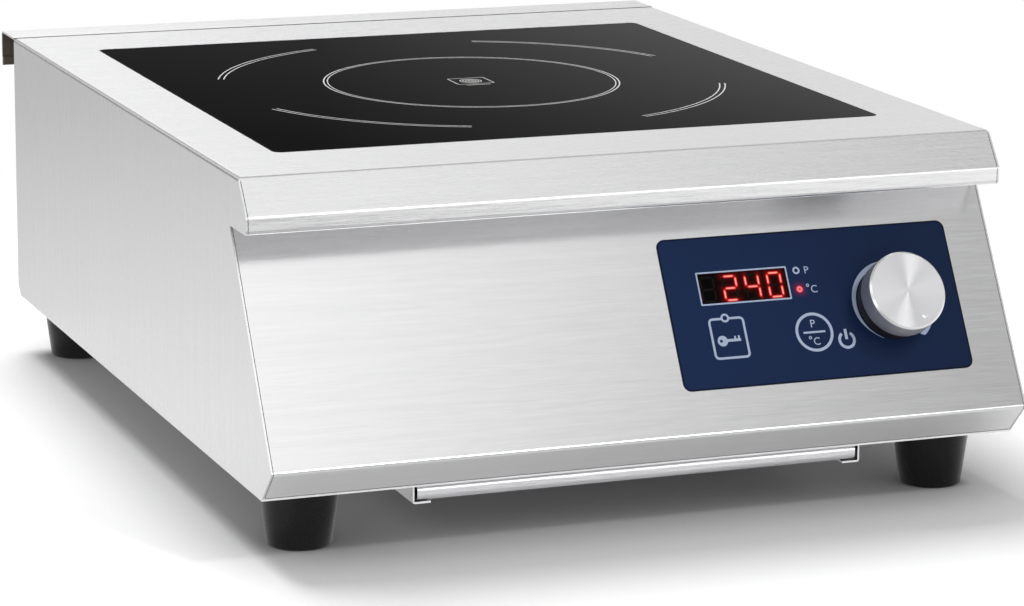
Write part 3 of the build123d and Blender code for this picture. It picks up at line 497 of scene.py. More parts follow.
def lit_from_within(name, base, code, strength):
    """A red glow that fades over its surface, by the strength stored at each corner."""

    def pattern(tree):
        stored = add(tree, "ShaderNodeAttribute", {"attribute_name": "glow"})
        place = add(tree, "ShaderNodeTexCoord").outputs["Object"]
        grain = add(
            tree, NOISE, inputs={"Vector": place, "Scale": DIODE_GRAIN, "Detail": 1.0, "Roughness": 0.5}
        )
        return {
            "Emission Strength": add(tree, MATH, TIMES, {0: stored.outputs["Fac"], 1: strength}),
            "Roughness": add(tree, RANGE, inputs={"Value": grain, "To Min": 0.1, "To Max": 0.18}),
        }

    return new_material(
        name, {"Base Color": base, "Emission Color": linear(code), "Specular IOR Level": 0.03}, pattern
    )


def lit_window():
    """Smoked acrylic where light from the segments spreads in it: a dim red haze."""
    return lit_from_within("smoked_acrylic_lit", linear("#060505"), "#7A0A08", 1.0)


def lit_film():
    """Navy polyester film around a lit lamp: a red haze that fades into the blue."""
    return lit_from_within("polyester_film_lit", colours().film, "#B01420", 0.9)


def glass_ceramic():
    """Black glass-ceramic, rolled and polished: a deep gloss with faint wiping marks."""

    def pattern(tree):
        place = add(tree, "ShaderNodeTexCoord").outputs["Object"]
        wiped = add(tree, VECTOR_MATH, TIMES, {0: place, 1: WIPE_MARKS})
        marks = add(tree, NOISE, inputs={"Vector": wiped, "Scale": 1.0, "Detail": 4.0, "Roughness": 0.6})
        span = {"From Min": 0.35, "From Max": 0.65, "To Min": 0.03, "To Max": 0.055}
        return {"Roughness": add(tree, RANGE, inputs={**span, "Value": marks})}

    gloss = {"Base Color": colours().glass, "IOR": 1.53, "Specular IOR Level": 0.003}
    return new_material("glass_ceramic_black", gloss, pattern)


def grained_ink(name, ink, density, darkest, low, high, level):
    """Ink laid down by a screen: matt, and slightly uneven in tone."""

    def pattern(tree):
        place = add(tree, "ShaderNodeTexCoord").outputs["Object"]
        grain = add(tree, NOISE, inputs={"Vector": place, "Scale": density, "Detail": 2.0, "Roughness": 0.5})
        return {
            "Base Color": add(tree, MIX, COLOURS, {0: grain, 6: shade(ink, darkest), 7: ink}),
            "Roughness": add(tree, RANGE, inputs={"Value": grain, "To Min": low, "To Max": high}),
        }

    return new_material(name, {"Specular IOR Level": level}, pattern)


def ceramic_print():
    """Ceramic ink fired on the glass: matt and faintly gritty."""
    return grained_ink("ceramic_ink_grey", colours().glass_ink, FINE_GRIT, 0.85, 0.5, 0.65, 0.1)


def printed_ink():
    """Screen-printed ink under the film: pale and matt."""
    return grained_ink("screen_ink_pale_blue", colours().ink, INK_GRAIN, 0.93, 0.45, 0.6, 0.2)


def overlay_film(name="polyester_film_navy", factor=1.0):
    """Polyester film printed on its back: satin, with the fine grain of its hard coat, and painted shade that
    darkens it to the right.
    """

    def pattern(tree):
        place = add(tree, "ShaderNodeTexCoord").outputs["Object"]
        grain = add(tree, NOISE, inputs={"Vector": place, "Scale": FILM_GRAIN, "Detail": 2.0, "Roughness": 0.5})
        split = add(tree, "ShaderNodeSeparateXYZ", inputs={0: place})
        # Painted shade: the film darkens from its left end to its right end.
        ends = {"From Min": OVERLAY_LOW.x, "From Max": OVERLAY_HIGH.x}
        share = add(tree, RANGE, inputs={**ends, "Value": split.outputs[0]})
        film = shade(colours().film, factor)
        return {
            "Base Color": add(tree, MIX, COLOURS, {0: share, 6: film, 7: shade(film, 0.68)}),
            "Roughness": add(tree, RANGE, inputs={"Value": grain, "To Min": 0.34, "To Max": 0.46}),
            "Normal": add(tree, BUMP, inputs={"Height": grain, "Strength": 0.08, "Distance": 0.00002}),
        }

    return new_material(name, {"IOR": 1.6, "Specular IOR Level": 0.08}, pattern)


def tinted_window():
    """Smoked acrylic over the display: near black and glossy."""

    def pattern(tree):
        place = add(tree, "ShaderNodeTexCoord").outputs["Object"]
        haze = add(tree, NOISE, inputs={"Vector": place, "Scale": FINE_GRIT, "Detail": 2.0, "Roughness": 0.5})
        return {"Roughness": add(tree, RANGE, inputs={"Value": haze, "To Min": 0.08, "To Max": 0.16})}

    return new_material(
        "smoked_acrylic", {"Base Color": linear("#0A0808"), "IOR": 1.49, "Specular IOR Level": 0.15}, pattern
    )


def glowing(name, code, strength):
    """A lit red diode element behind its frosted diffuser: an even glow with a faint grain."""

    def pattern(tree):
        place = add(tree, "ShaderNodeTexCoord").outputs["Object"]
        grain = add(
            tree, NOISE, inputs={"Vector": place, "Scale": DIODE_GRAIN, "Detail": 1.0, "Roughness": 0.5}
        )
        ends = {"To Min": strength * 0.94, "To Max": strength * 1.04}
        return {"Emission Strength": add(tree, RANGE, inputs={**ends, "Value": grain})}

    return new_material(
        name, {"Base Color": linear("#200404"), "Roughness": 0.4, "Emission Color": linear(code)}, pattern
    )


def moulded(name, code, low, high, size=0.4, ior=1.5, level=0.5):
    """Moulded or painted stock: a fine-grained skin with a little unevenness in tone and gloss."""

    def pattern(tree):
        place = add(tree, "ShaderNodeTexCoord").outputs["Object"]
        skin = {"Vector": place, "Scale": 1 / (size * MM), "Detail": 2.0, "Roughness": 0.6}
        grain = add(tree, NOISE, inputs=skin)
        clouds = add(tree, NOISE, inputs={"Vector": place, "Scale": CLOUDS, "Detail": 2.0, "Roughness": 0.5})
        colour = linear(code)
        return {
            "Base Color": add(tree, MIX, COLOURS, {0: clouds, 6: shade(colour, 0.86), 7: shade(colour, 1.1)}),
            "Roughness": add(tree, RANGE, inputs={**NOISE_SPAN, "Value": grain, "To Min": low, "To Max": high}),
            "Normal": add(tree, BUMP, inputs={"Height": grain, "Strength": 0.15, "Distance": 0.00003}),
        }

    return new_material(name, {"IOR": ior, "Specular IOR Level": level}, pattern)


def metal_stock(name, code, low, high, size=0.8, stretch=(1, 1, 1)):
    """Rolled, plated or enamelled metal stock: soft streaks in its tone and gloss."""

    def pattern(tree):
        place = add(tree, "ShaderNodeTexCoord").outputs["Object"]
        scaled = add(tree, VECTOR_MATH, TIMES, {0: place, 1: tuple(s / (size * MM) for s in stretch)})
        grain = add(tree, NOISE, inputs={"Vector": scaled, "Scale": 1.0, "Detail": 3.0, "Roughness": 0.6})
        share = add(tree, RANGE, inputs={**NOISE_SPAN, "Value": grain})
        colour = linear(code)
        return {
            "Base Color": add(tree, MIX, COLOURS, {0: share, 6: shade(colour, 0.86), 7: shade(colour, 1.08)}),
            "Roughness": add(tree, RANGE, inputs={**NOISE_SPAN, "Value": grain, "To Min": low, "To Max": high}),
            "Normal": add(tree, BUMP, inputs={"Height": grain, "Strength": 0.1, "Distance": 0.00004}),
        }

    return new_material(name, {"Metallic": 1.0}, pattern)


def painted_shade_sheet():
    """The unbrushed inner side of the sheet, and the joint in front of the hood: dull, with painted shade that
    makes them brown-grey where little light gets in.
    """
    return metal_stock("stainless_painted_shade", "#6B635C", 0.45, 0.6, 2.0)


def slot_material(slot):
    """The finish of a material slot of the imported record."""
    stock = {
        # Bright sheet with drawn-out brushing marks.
        "brushed_stainless": brushed_stainless,
        # Galvanised sheet: grey, with the broad soft patches of its zinc.
        "zinc_sheet": lambda: metal_stock("zinc_plated_sheet", "#B4B7BA", 0.35, 0.5, 9.0),
        # Black and deeply glossy.
        "glass_ceramic": glass_ceramic,
        # Moulded silicone: black, dull and soft-looking.
        "silicone_black": lambda: moulded("silicone_black", "#111111", 0.55, 0.7, 0.5, 1.41),
        # Satin navy print.
        "overlay_film": overlay_film,
        # Near black and glossy.
        "tinted_window": tinted_window,
        # Moulded polyester housing: black, with a fine eroded texture.
        "display_black": lambda: moulded("pbt_display_black", "#0B0B0B", 0.5, 0.65, 0.3, 1.57),
        # Cast epoxy over a diode: it glows red.
        "led_red": lambda: glowing("led_epoxy_red", "#FF3A40", 0.6),
        # Solder mask over copper: green, with a slight wave.
        "circuit_board": lambda: moulded("solder_mask_green", "#1C5A33", 0.3, 0.45, 1.2, 1.52),
        # Stranded copper under clear enamel: warm and shiny in short streaks.
        "copper_litz": lambda: metal_stock("enamelled_copper_litz", "#C87443", 0.35, 0.5, 0.9),
        # Undyed nylon: off-white and waxy.
        "nylon_white": lambda: moulded("nylon_66_natural", "#DAD6CA", 0.45, 0.6, 0.6, 1.53),
        # Black nylon: matt, with a moulded skin.
        "nylon_black": lambda: moulded("nylon_66_black", "#151516", 0.42, 0.58, 0.5, 1.53),
        # Pressed and sintered ferrite: dark grey and dry.
        "ferrite": lambda: moulded("sintered_ferrite", "#3B3C3F", 0.5, 0.7, 0.4, 1.6),
        # Mica laminate: tan, with the outlines of its flakes.
        "mica": lambda: moulded("mica_laminate", "#B9A57C", 0.35, 0.55, 3.0, 1.58),
        # Plated screws and nuts: bright grey with faint streaks.
        "steel_plated": lambda: metal_stock("zinc_plated_steel", "#C4C6C8", 0.25, 0.38, 1.2),
        # Bright metal with a gloss that fans out from its centre.
        "aluminium_turned": turned_aluminium,
        # Rolled aluminium: pale, streaked along its rolling.
        "aluminium_filter": lambda: metal_stock("rolled_aluminium", "#E6E6E9", 0.25, 0.4, 0.7, (0.05, 1, 1)),
        # Moulded rubber: nearly black, with a low sheen.
        "rubber_foot": lambda: moulded("epdm_rubber_black", "#080808", 0.22, 0.3, 0.5, 1.52, 0.25),
        # Turned brass: yellow and bright.
        "brass": lambda: metal_stock("turned_brass", "#C9A24E", 0.25, 0.4, 0.5),
    }
    return stock[slot]()


# ---- Sheet metal --------------------------------------------------------------------------------
def sheet_piece(node, name, width, finish):
    """A sheet-metal piece with its raw edges rounded a little, so that they catch the light."""
    source = FRAME["nodes"][node]
    bm = bmesh.new()
    bm.from_mesh(source.data)
    bmesh.ops.remove_doubles(bm, verts=bm.verts, dist=1e-6)
    bmesh.ops.dissolve_limit(bm, angle_limit=math.radians(0.6), verts=bm.verts, edges=bm.edges)
    piece = mesh_object(name, bm, finish)
    bevel = piece.modifiers.new("edges", "BEVEL")
    bevel.width = width
    bevel.segments = 2
    bevel.limit_method = "ANGLE"
    bevel.angle_limit = math.radians(50)
    bevel.use_clamp_overlap = True
    baked(piece)
    return even_normals(piece, 32)


class HOB_OT_casing(bpy.types.Operator):
    """Casing, front panel, base plate, back panel, hood and filter rails"""

    bl_idname = "hob.casing"
    bl_label = "Sheet metal casing"

    def seam(self, hood):
        """Opens the joint in front of the hood, and gives the groove and the hood's inner side painted shade.
        """
        low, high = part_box("rear_deflector")
        past_ends, cutter_width, cutter_depth = 4 * MM, 2.8 * MM, 0.7 * MM
        cutter_back, cutter_down = 1.2 * MM, 0.2 * MM
        groove = bmesh.new()
        bmesh.ops.create_cube(groove, size=1.0)
        scale = Vector((high.x - low.x + past_ends, cutter_width, cutter_depth))
        bmesh.ops.scale(groove, verts=groove.verts, vec=scale)
        bmesh.ops.translate(groove, verts=groove.verts, vec=(0, low.y + cutter_back, high.z - cutter_down))
        # Painted shade: the cutter's dark sheet passes to the faces of the groove it opens.
        dark = painted_shade_sheet()
        cutter = mesh_object("seam_cutter", groove, dark)
        hood.data.materials.append(dark)
        cut = hood.modifiers.new("seam", "BOOLEAN")
        cut.operation = "DIFFERENCE"
        cut.solver = "EXACT"
        cut.material_mode = "TRANSFER"
        cut.object = cutter
        baked(hood)
        bpy.data.objects.remove(cutter)
        last = len(hood.data.materials) - 1
        back = low.y + 0.8 * (high.y - low.y)
        # Painted shade: the hood's faces that look inwards near its back, and those under its top edge.
        for face in hood.data.polygons:
            inner = face.normal.y < -0.6 and face.center.y > back
            if inner or face.normal.z < -0.6 and face.center.z > high.z - 3 * MM:
                face.material_index = last
        even_normals(hood, 32)

    def execute(self, context):
        edge = sizes().edge
        for node in (
            "outer_casing",
            "front_panel",
            "base_plate",
            "rear_panel",
            "rear_deflector",
            "filter_rail_left",
            "filter_rail_right",
        ):
            if node == "front_panel":
                finish = brushed_stainless("brushed_stainless_304_fine", 0.15, 0.22, 0.5)
            else:
                finish = brushed_stainless()
            piece = sheet_piece(node, node + "_sheet", edge, finish)
            if node == "rear_deflector":
                self.seam(piece)
            settle(piece, "housing", "brushed_stainless", node)
        return {"FINISHED"}


# ---- Node trees that repeat a shape -------------------------------------------------------------
def group_inputs(tree, rows):
    """Gives a tree its output and its named inputs, and returns their sockets with the values to set."""
    sockets = []
    for label, kind, value in rows:
        sockets.append((tree.interface.new_socket(label, in_out="INPUT", socket_type=kind), value))
    tree.interface.new_socket("Geometry", in_out="OUTPUT", socket_type="NodeSocketGeometry")
    return sockets


def run_tree(source, tree, rows):
    """Runs a tree on a piece with its inputs set, and leaves the result as a plain mesh."""
    modifier = source.modifiers.new(tree.name, "NODES")
    modifier.node_group = tree
    for socket, value in rows:
        if value is not None:
            modifier[socket.identifier] = value
    return baked(source)


def round_copies(name, source, count, first, centre, material):
    """Copies of a mesh around an upright axis."""
    tree = bpy.data.node_groups.new(name, "GeometryNodeTree")
    rows = group_inputs(
        tree,
        (
            ("Geometry", "NodeSocketGeometry", None),
            ("Count", "NodeSocketInt", count),
            ("First Angle", "NodeSocketFloat", first),
            ("Centre", "NodeSocketVector", centre),
            ("Material", "NodeSocketMaterial", material),
        ),
    )
    given = add(tree, "NodeGroupInput").outputs
    points = add(tree, "GeometryNodePoints", inputs={"Count": given["Count"], "Position": given["Centre"]})
    step = add(tree, MATH, {"operation": "DIVIDE"}, {0: TAU, 1: given["Count"]})
    index = add(tree, "GeometryNodeInputIndex")
    turn = add(tree, MATH, {"operation": "MULTIPLY_ADD"}, {0: index, 1: step, 2: given["First Angle"]})
    upright = add(tree, "ShaderNodeCombineXYZ", inputs={2: turn})
    placed = add(
        tree,
        "GeometryNodeInstanceOnPoints",
        inputs={"Points": points, "Instance": given["Geometry"], "Rotation": upright},
    )
    real = add(tree, "GeometryNodeRealizeInstances", inputs={0: placed})
    finished = add(tree, "GeometryNodeSetMaterial", inputs={"Geometry": real, "Material": given["Material"]})
    add(tree, "NodeGroupOutput", inputs={0: finished})
    return run_tree(source, tree, rows)


def expanded_mesh(source, size, centre, pitch, strand, layers, material):
    """Layers of expanded metal: zigzag strands that meet at their knuckles."""
    tree = bpy.data.node_groups.new("expanded_metal", "GeometryNodeTree")
    rows = group_inputs(
        tree,
        (
            ("Geometry", "NodeSocketGeometry", None),
            ("Width", "NodeSocketFloat", size.x),
            ("Length", "NodeSocketFloat", size.y),
            ("Depth", "NodeSocketFloat", size.z),
            ("Centre", "NodeSocketVector", tuple(centre)),
            ("Pitch", "NodeSocketFloat", pitch),
            ("Strand", "NodeSocketFloat", strand),
            ("Layers", "NodeSocketInt", layers),
            ("Material", "NodeSocketMaterial", material),
        ),
    )
    given = add(tree, "NodeGroupInput").outputs
    ends = add(tree, "GeometryNodeInputMeshEdgeVertices").outputs
    known = {socket.name: socket for socket in given}
    known["Index"] = add(tree, "GeometryNodeInputIndex")
    for name in ("Position 1", "Position 2"):
        known[name] = add(tree, "ShaderNodeSeparateXYZ", inputs={0: ends[name]}).outputs[0]
    # Each line works out one amount from what is known above it.
    for name, operation, *terms in (
        # The grid of knuckles, half a pitch apart.
        ("half pitch", "DIVIDE", "Pitch", 2),
        ("quarter pitch", "DIVIDE", "Pitch", 4),
        ("wide", "SUBTRACT", "Width", "Pitch"),
        ("long", "SUBTRACT", "Length", "Pitch"),
        ("steps wide", "DIVIDE", "wide", "half pitch"),
        ("steps long", "DIVIDE", "long", "half pitch"),
        ("columns", "FLOOR", "steps wide"),
        ("rows", "FLOOR", "steps long"),
        # Every second knuckle moves one way and the others move back, which bends the rows into zigzags.
        ("middle", "ADD", "Index", 0.5),
        ("columns done", "DIVIDE", "middle", "rows"),
        ("column", "FLOOR", "columns done"),
        ("knuckles done", "MULTIPLY", "column", "rows"),
        ("row", "SUBTRACT", "Index", "knuckles done"),
        ("diagonal", "ADD", "row", "column"),
        ("parity", "MODULO", "diagonal", 2),
        ("doubled", "MULTIPLY", "parity", 2),
        ("side", "SUBTRACT", "doubled", 1),
        ("shift", "MULTIPLY", "side", "quarter pitch"),
        # Edges that run along the length are dropped.
        ("apart", "SUBTRACT", "Position 1", "Position 2"),
        ("span", "ABSOLUTE", "apart"),
        ("lengthwise", "LESS_THAN", "span", 0.0001),
        # The layers, centred in the depth, each slid against the next.
        ("gap", "DIVIDE", "Depth", "Layers"),
        ("gaps", "SUBTRACT", "Layers", 1),
        ("half gap down", "MULTIPLY", "gap", -0.5),
        ("first layer", "MULTIPLY", "gaps", "half gap down"),
        ("odd", "MODULO", "Index", 2),
        ("either way", "SUBTRACT", "odd", 0.5),
        ("slide", "MULTIPLY", "either way", "half pitch"),
    ):
        values = {place: known.get(term, term) for place, term in enumerate(terms)}
        known[name] = add(tree, MATH, {"operation": operation}, values)
    grid = add(
        tree,
        "GeometryNodeMeshGrid",
        inputs={
            "Size X": known["wide"],
            "Size Y": known["long"],
            "Vertices X": known["columns"],
            "Vertices Y": known["rows"],
        },
    )
    offset = add(tree, "ShaderNodeCombineXYZ", inputs={1: known["shift"]})
    bent = add(tree, "GeometryNodeSetPosition", inputs={"Geometry": grid, "Offset": offset})
    kept = add(
        tree,
        "GeometryNodeDeleteGeometry",
        {"domain": "EDGE", "mode": "EDGE_FACE"},
        {"Geometry": bent, "Selection": known["lengthwise"]},
    )
    lines = add(tree, "GeometryNodeMeshToCurve", inputs={0: kept})
    profile = add(tree, "GeometryNodeCurvePrimitiveCircle", inputs={"Resolution": 3, "Radius": given["Strand"]})
    strands = add(
        tree, "GeometryNodeCurveToMesh", inputs={"Curve": lines, "Profile Curve": profile, "Fill Caps": True}
    )
    lowest = add(tree, "ShaderNodeCombineXYZ", inputs={2: known["first layer"]})
    start = add(tree, VECTOR_MATH, {"operation": "ADD"}, {0: given["Centre"], 1: lowest})
    upward = add(tree, "ShaderNodeCombineXYZ", inputs={2: known["gap"]})
    stack = add(
        tree,
        "GeometryNodeMeshLine",
        inputs={"Count": given["Layers"], "Start Location": start, "Offset": upward},
    )
    slide = add(tree, "ShaderNodeCombineXYZ", inputs={0: known["slide"]})
    staggered = add(tree, "GeometryNodeSetPosition", inputs={"Geometry": stack, "Offset": slide})
    placed = add(tree, "GeometryNodeInstanceOnPoints", inputs={"Points": staggered, "Instance": strands})
    real = add(tree, "GeometryNodeRealizeInstances", inputs={0: placed})
    finished = add(tree, "GeometryNodeSetMaterial", inputs={"Geometry": real, "Material": given["Material"]})
    add(tree, "NodeGroupOutput", inputs={0: finished})
    return run_tree(source, tree, rows)


# ---- Glass --------------------------------------------------------------------------------------
class HOB_OT_glass(bpy.types.Operator):
    """Glass plate with a polished edge, and the marks fired on it"""

    bl_idname = "hob.glass"
    bl_label = "Glass cooking surface"

    def execute(self, context):
        low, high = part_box("glass_plate")
        centre = (low + high) / 2
        line = sizes().print_line / MM
        ink_height = 0.02
        corner = 4.5
        second_line = 2.1  # from the outer line of the ring to its inner one
        second_arc = 2.9  # the same for the arcs
        top = high.z / MM - ink_height

        def on_glass(x, y, height):
            return Vector((centre.x + x * MM, centre.y - y * MM, height * MM))

        half_x = (high.x - low.x) / 2 / MM
        half_y = (high.y - low.y) / 2 / MM
        outline = rounded_outline(-half_x, -half_y, half_x, half_y, corner)
        plate = mesh_object("glass_surface", prism([outline], on_glass, low.z / MM, top), glass_ceramic())
        bevel = plate.modifiers.new("polished", "BEVEL")
        bevel.width = 0.45 * MM
        bevel.segments = 3
        bevel.limit_method = "ANGLE"
        bevel.angle_limit = math.radians(60)
        baked(plate)
        even_normals(plate, 40)
        settle(plate, "housing", "glass_ceramic", "glass_plate")

        middle = (0.0, 0.0)
        ring = sizes().ring_radius / MM
        flat = band(middle, ring, ring - line, steps=160)
        flat += band(middle, ring - second_line, ring - second_line - line * 0.8, steps=160)
        # A plain sign for a coil in the middle: a frame, four turns and a bar under it.
        flat += frame_band(-10.5, -10.7, 10.5, 7.8, 0.6, 0.6)
        for radius in (1.6, 3.1, 4.6, 6.1):
            flat += band((0, -1.5), radius, radius - 0.55, steps=40)
        flat += bar(-6.8, 10.4, 6.8, 11.2)
        ink = ceramic_print()
        marks = mesh_object("zone_marks", prism(flat, on_glass, top, top + ink_height), ink)
        settle(marks, "housing", "glass_ceramic")

        arc = sizes().arc_radius / MM
        sweep = math.degrees(sizes().arc_sweep)

        def about_axis(x, y, height):
            return Vector((x * MM, -y * MM, height * MM))

        pair = band(middle, arc, arc - line, -sweep / 2, sweep / 2, 48)
        pair += band(middle, arc - second_arc, arc - second_arc - line, -sweep / 2, sweep / 2, 48)
        source = mesh_object("pan_arcs", prism(pair, about_axis, top, top + ink_height), ink)
        round_copies(
            "copies_round_zone", source, sizes().arc_count, math.radians(45), (centre.x, centre.y, 0.0), ink
        )
        settle(source, "housing", "glass_ceramic")
        return {"FINISHED"}


# ---- Control overlay ----------------------------------------------------------------------------
SEGMENTS = {"2": "abged", "4": "fgbc", "0": "abcdef", " ": ""}


def segment(x0, y0, x1, y1, width, short=0.3):
    """One six-sided segment between two points, cut short at both ends."""
    ax = Vector((x1 - x0, y1 - y0)).normalized()
    side = Vector((-ax.y, ax.x)) * width / 2
    start = Vector((x0, y0)) + ax * short
    stop = Vector((x1, y1)) - ax * short
    reach = ax * width / 2
    near = (start, start + reach + side, stop - reach + side)
    far = (stop, stop - reach - side, start + reach - side)
    return [tuple(point) for point in near + far]


def digit_segments(left, top, width, height):
    right = left + width
    middle = top + height / 2
    foot = top + height
    return {
        "a": (left, top, right, top),
        "b": (right, top, right, middle),
        "c": (right, middle, right, foot),
        "d": (left, foot, right, foot),
        "e": (left, middle, left, foot),
        "f": (left, top, left, middle),
        "g": (left, middle, right, middle),
    }


class HOB_OT_overlay(bpy.types.Operator):
    """Printed film, display with its digits, and the generic marks of the controls"""

    bl_idname = "hob.overlay"
    bl_label = "Control overlay"

    def glow(self, name, window, sources, spread, height, material):
        """A thin plate whose corners store how near they are to a lit line."""
        cell, fade, thickness = 0.45, 2.2, 0.003
        x0, y0, x1, y1 = window
        nx, ny = math.ceil((x1 - x0) / cell), math.ceil((y1 - y0) / cell)
        bm = bmesh.new()
        layer = bm.verts.layers.float.new("glow")
        rows = []
        for j in range(ny + 1):
            row = []
            for i in range(nx + 1):
                x, y = x0 + (x1 - x0) * i / nx, y0 + (y1 - y0) * j / ny
                vert = bm.verts.new(on_overlay(x, y, height))
                total = 0.0
                for ax, ay, bx, by in sources:
                    run = Vector((bx - ax, by - ay))
                    share = 0.0
                    if run.length > 0:
                        share = min(max(Vector((x - ax, y - ay)).dot(run) / run.length_squared, 0), 1)
                    far = math.hypot(x - ax - run.x * share, y - ay - run.y * share)
                    total = max(total, math.exp(-far / spread * fade))
                vert[layer] = total
                row.append(vert)
            rows.append(row)
        for j in range(ny):
            for i in range(nx):
                bm.faces.new((rows[j][i], rows[j + 1][i], rows[j + 1][i + 1], rows[j][i + 1]))
        solid = bmesh.ops.extrude_face_region(bm, geom=bm.faces[:])
        moved = [v for v in solid["geom"] if isinstance(v, bmesh.types.BMVert)]
        bmesh.ops.translate(bm, verts=moved, vec=-PANEL_OUT * thickness * MM)
        bmesh.ops.recalc_face_normals(bm, faces=bm.faces)
        piece = mesh_object(name, bm, material)
        return settle(piece, "housing", "led_red")

    def execute(self, context):
        width = OVERLAY_WIDTH / MM
        length = OVERLAY_LENGTH / MM
        film = FILM / MM
        window = (17.9, 18.5, 17.9 + 49.3, 18.5 + 17.2)
        film_corner = 4.4
        bm = bmesh.new()
        bm.from_mesh(FRAME["nodes"]["control_overlay"].data)
        bmesh.ops.remove_doubles(bm, verts=bm.verts, dist=1e-6)
        bmesh.ops.dissolve_limit(bm, angle_limit=math.radians(0.6), verts=bm.verts, edges=bm.edges)
        sheet = mesh_object("overlay_film", bm, overlay_film())
        corners = [rounded_outline(0, 0, width, length, film_corner, 10)]
        trim = mesh_object("film_trim", prism(corners, on_overlay, -1, film + 1), overlay_film())
        cut = sheet.modifiers.new("corners", "BOOLEAN")
        cut.operation = "INTERSECT"
        cut.solver = "EXACT"
        cut.object = trim
        baked(sheet)
        bpy.data.objects.remove(trim)
        bevel = sheet.modifiers.new("cut", "BEVEL")
        bevel.width = 0.1 * MM
        bevel.segments = 2
        bevel.limit_method = "ANGLE"
        bevel.angle_limit = math.radians(60)
        baked(sheet)
        even_normals(sheet, 40)
        settle(sheet, "housing", "overlay_film", "control_overlay")

        # Painted shade: a dark band along the film, just inside its cut edge.
        inset = 0.04
        edge_band = frame_band(inset, inset, width - inset, length - inset, 0.8, film_corner - inset)
        edge_shade_film = overlay_film("polyester_film_edge_shade", 0.22)
        edge = mesh_object("overlay_edge_shade", prism(edge_band, on_overlay, film, film + 0.015), edge_shade_film)
        settle(edge, "housing", "overlay_film")

        ink = printed_ink()
        x0, y0, x1, y1 = window
        # The display's frame and the ring of the upper lamp.
        marks = frame_band(x0 - 0.1, y0 - 0.1, x1 + 0.1, y1 + 0.1, 0.8, 0.5)
        marks += band((72.5, 21.1), 1.95, 1.0, steps=36)
        # The lock key's frame, and the mode key's circle with its bar.
        marks += frame_band(19.5, 42.6, 39.0, 64.2, 1.2, 2.5)
        marks += band((75.6, 53.9), 10.25, 8.75, steps=96)
        marks += bar(69.6, 53.4, 81.6, 54.4)
        # The power sign.
        marks += band((92.4, 59.3), 4.75, 3.25, 34, 326, 60)
        marks += bar(91.65, 53.6, 93.15, 59.0)
        # The key sign: a bow with its eye off centre, a shank and two bits.
        bow, eye = (25.4, 54.7), (24.6, 54.7)
        for i in range(40):
            near, far = 9.0 * i, 9.0 * (i + 1)
            rim = [clock_point(bow, 2.75, near), clock_point(bow, 2.75, far)]
            hole = [clock_point(eye, 0.8, far), clock_point(eye, 0.8, near)]
            marks.append(rim + hole)
        marks += bar(28.1, 53.9, 35.3, 55.3)
        marks += bar(31.9, 52.5, 32.8, 53.9)
        marks += bar(33.9, 52.3, 34.9, 53.9)
        piece = mesh_object("control_marks", prism(marks, on_overlay, film, film + 0.02), ink)
        settle(piece, "housing", "overlay_film")

        lock_lamp = (28.9, 42.9)
        cover = band(lock_lamp, 2.3, 1.2, steps=36)
        piece = mesh_object("lock_lamp_ring", prism(cover, on_overlay, film, film + 0.03), ink)
        settle(piece, "housing", "overlay_film")
        backing = prism(disc(lock_lamp, 1.25), on_overlay, film, film + 0.028)
        piece = mesh_object("lock_lamp_cover", backing, overlay_film())
        settle(piece, "housing", "overlay_film")

        letters = lettering("P", 78.2, 21.2, 3.7)
        letters += lettering("P", 75.6, 49.4, 3.9)
        letters += lettering("C", 80.3, 31.4, 3.9)
        letters += lettering("C", 76.0, 58.7, 3.9)
        letters += band((77.1, 29.3), 0.85, 0.4, steps=24)
        letters += band((72.8, 56.7), 0.85, 0.4, steps=24)
        piece = mesh_object("unit_letters", prism(letters, on_overlay, film, film + 0.02), ink)
        settle(piece, "housing", "overlay_film")

        # The sweep round the knob widens along its way and ends in a point.
        knob = (KNOB_ACROSS / MM, KNOB_DOWN / MM)
        crescent = []
        start, stop, steps = 205.0, 501.0, 100
        inner, least, widest = 19.7, 19.9, 3.6

        def reach(index):
            part = index / steps
            taper = min(part / 0.2, 1)
            return least + (widest * part**0.4 - 0.15) * taper * taper * (3 - 2 * taper)

        for i in range(steps):
            a = start + (stop - start) * i / steps
            b = start + (stop - start) * (i + 1) / steps
            crescent.append(
                [
                    clock_point(knob, reach(i), a),
                    clock_point(knob, reach(i + 1), b),
                    clock_point(knob, inner, b),
                    clock_point(knob, inner, a),
                ]
            )
        head = [
            clock_point(knob, inner, stop),
            clock_point(knob, reach(steps), stop),
            clock_point(knob, 21.4, stop + 4.0),
        ]
        piece = mesh_object("setting_sweep", prism(crescent + [head], on_overlay, film, film + 0.025), ink)
        settle(piece, "housing", "overlay_film")

        lit = []
        cores = []
        dim = []
        sources = []
        first_digit, digit_pitch = (x0 + 1.6, y0 + 2.9), 12.2
        for index, shown in enumerate(" 240"):
            lines = digit_segments(first_digit[0] + digit_pitch * index, first_digit[1], 7.0, 12.5)
            for name, ends in lines.items():
                if name in SEGMENTS[shown]:
                    sources.append(ends)
                    lit.append(segment(*ends, 1.5))
                    cores.append(segment(*ends, 0.62, 1.1))
                else:
                    dim.append(segment(*ends, 1.2))
        inside_frame = (x0 + 0.7, y0 + 0.7, x1 - 0.7, y1 - 0.7)
        self.glow("display_glow", inside_frame, sources, 2.3, film + 0.004, lit_window())
        for name, polygons, height, material in (
            ("display_segments_off", dim, 0.008, moulded("segment_off", "#151010", 0.5, 0.6, 0.3, 1.5, 0.05)),
            ("display_segments_lit", lit, 0.014, glowing("segment_lit", "#E3140F", 1.0)),
            ("display_segment_cores", cores, 0.02, glowing("segment_core", "#FFA79C", 1.0)),
        ):
            flat = [prism([polygon], on_overlay, film - 0.02, film + height) for polygon in polygons]
            piece = mesh_object(name, joined(flat), material)
            settle(piece, "housing", "led_red")

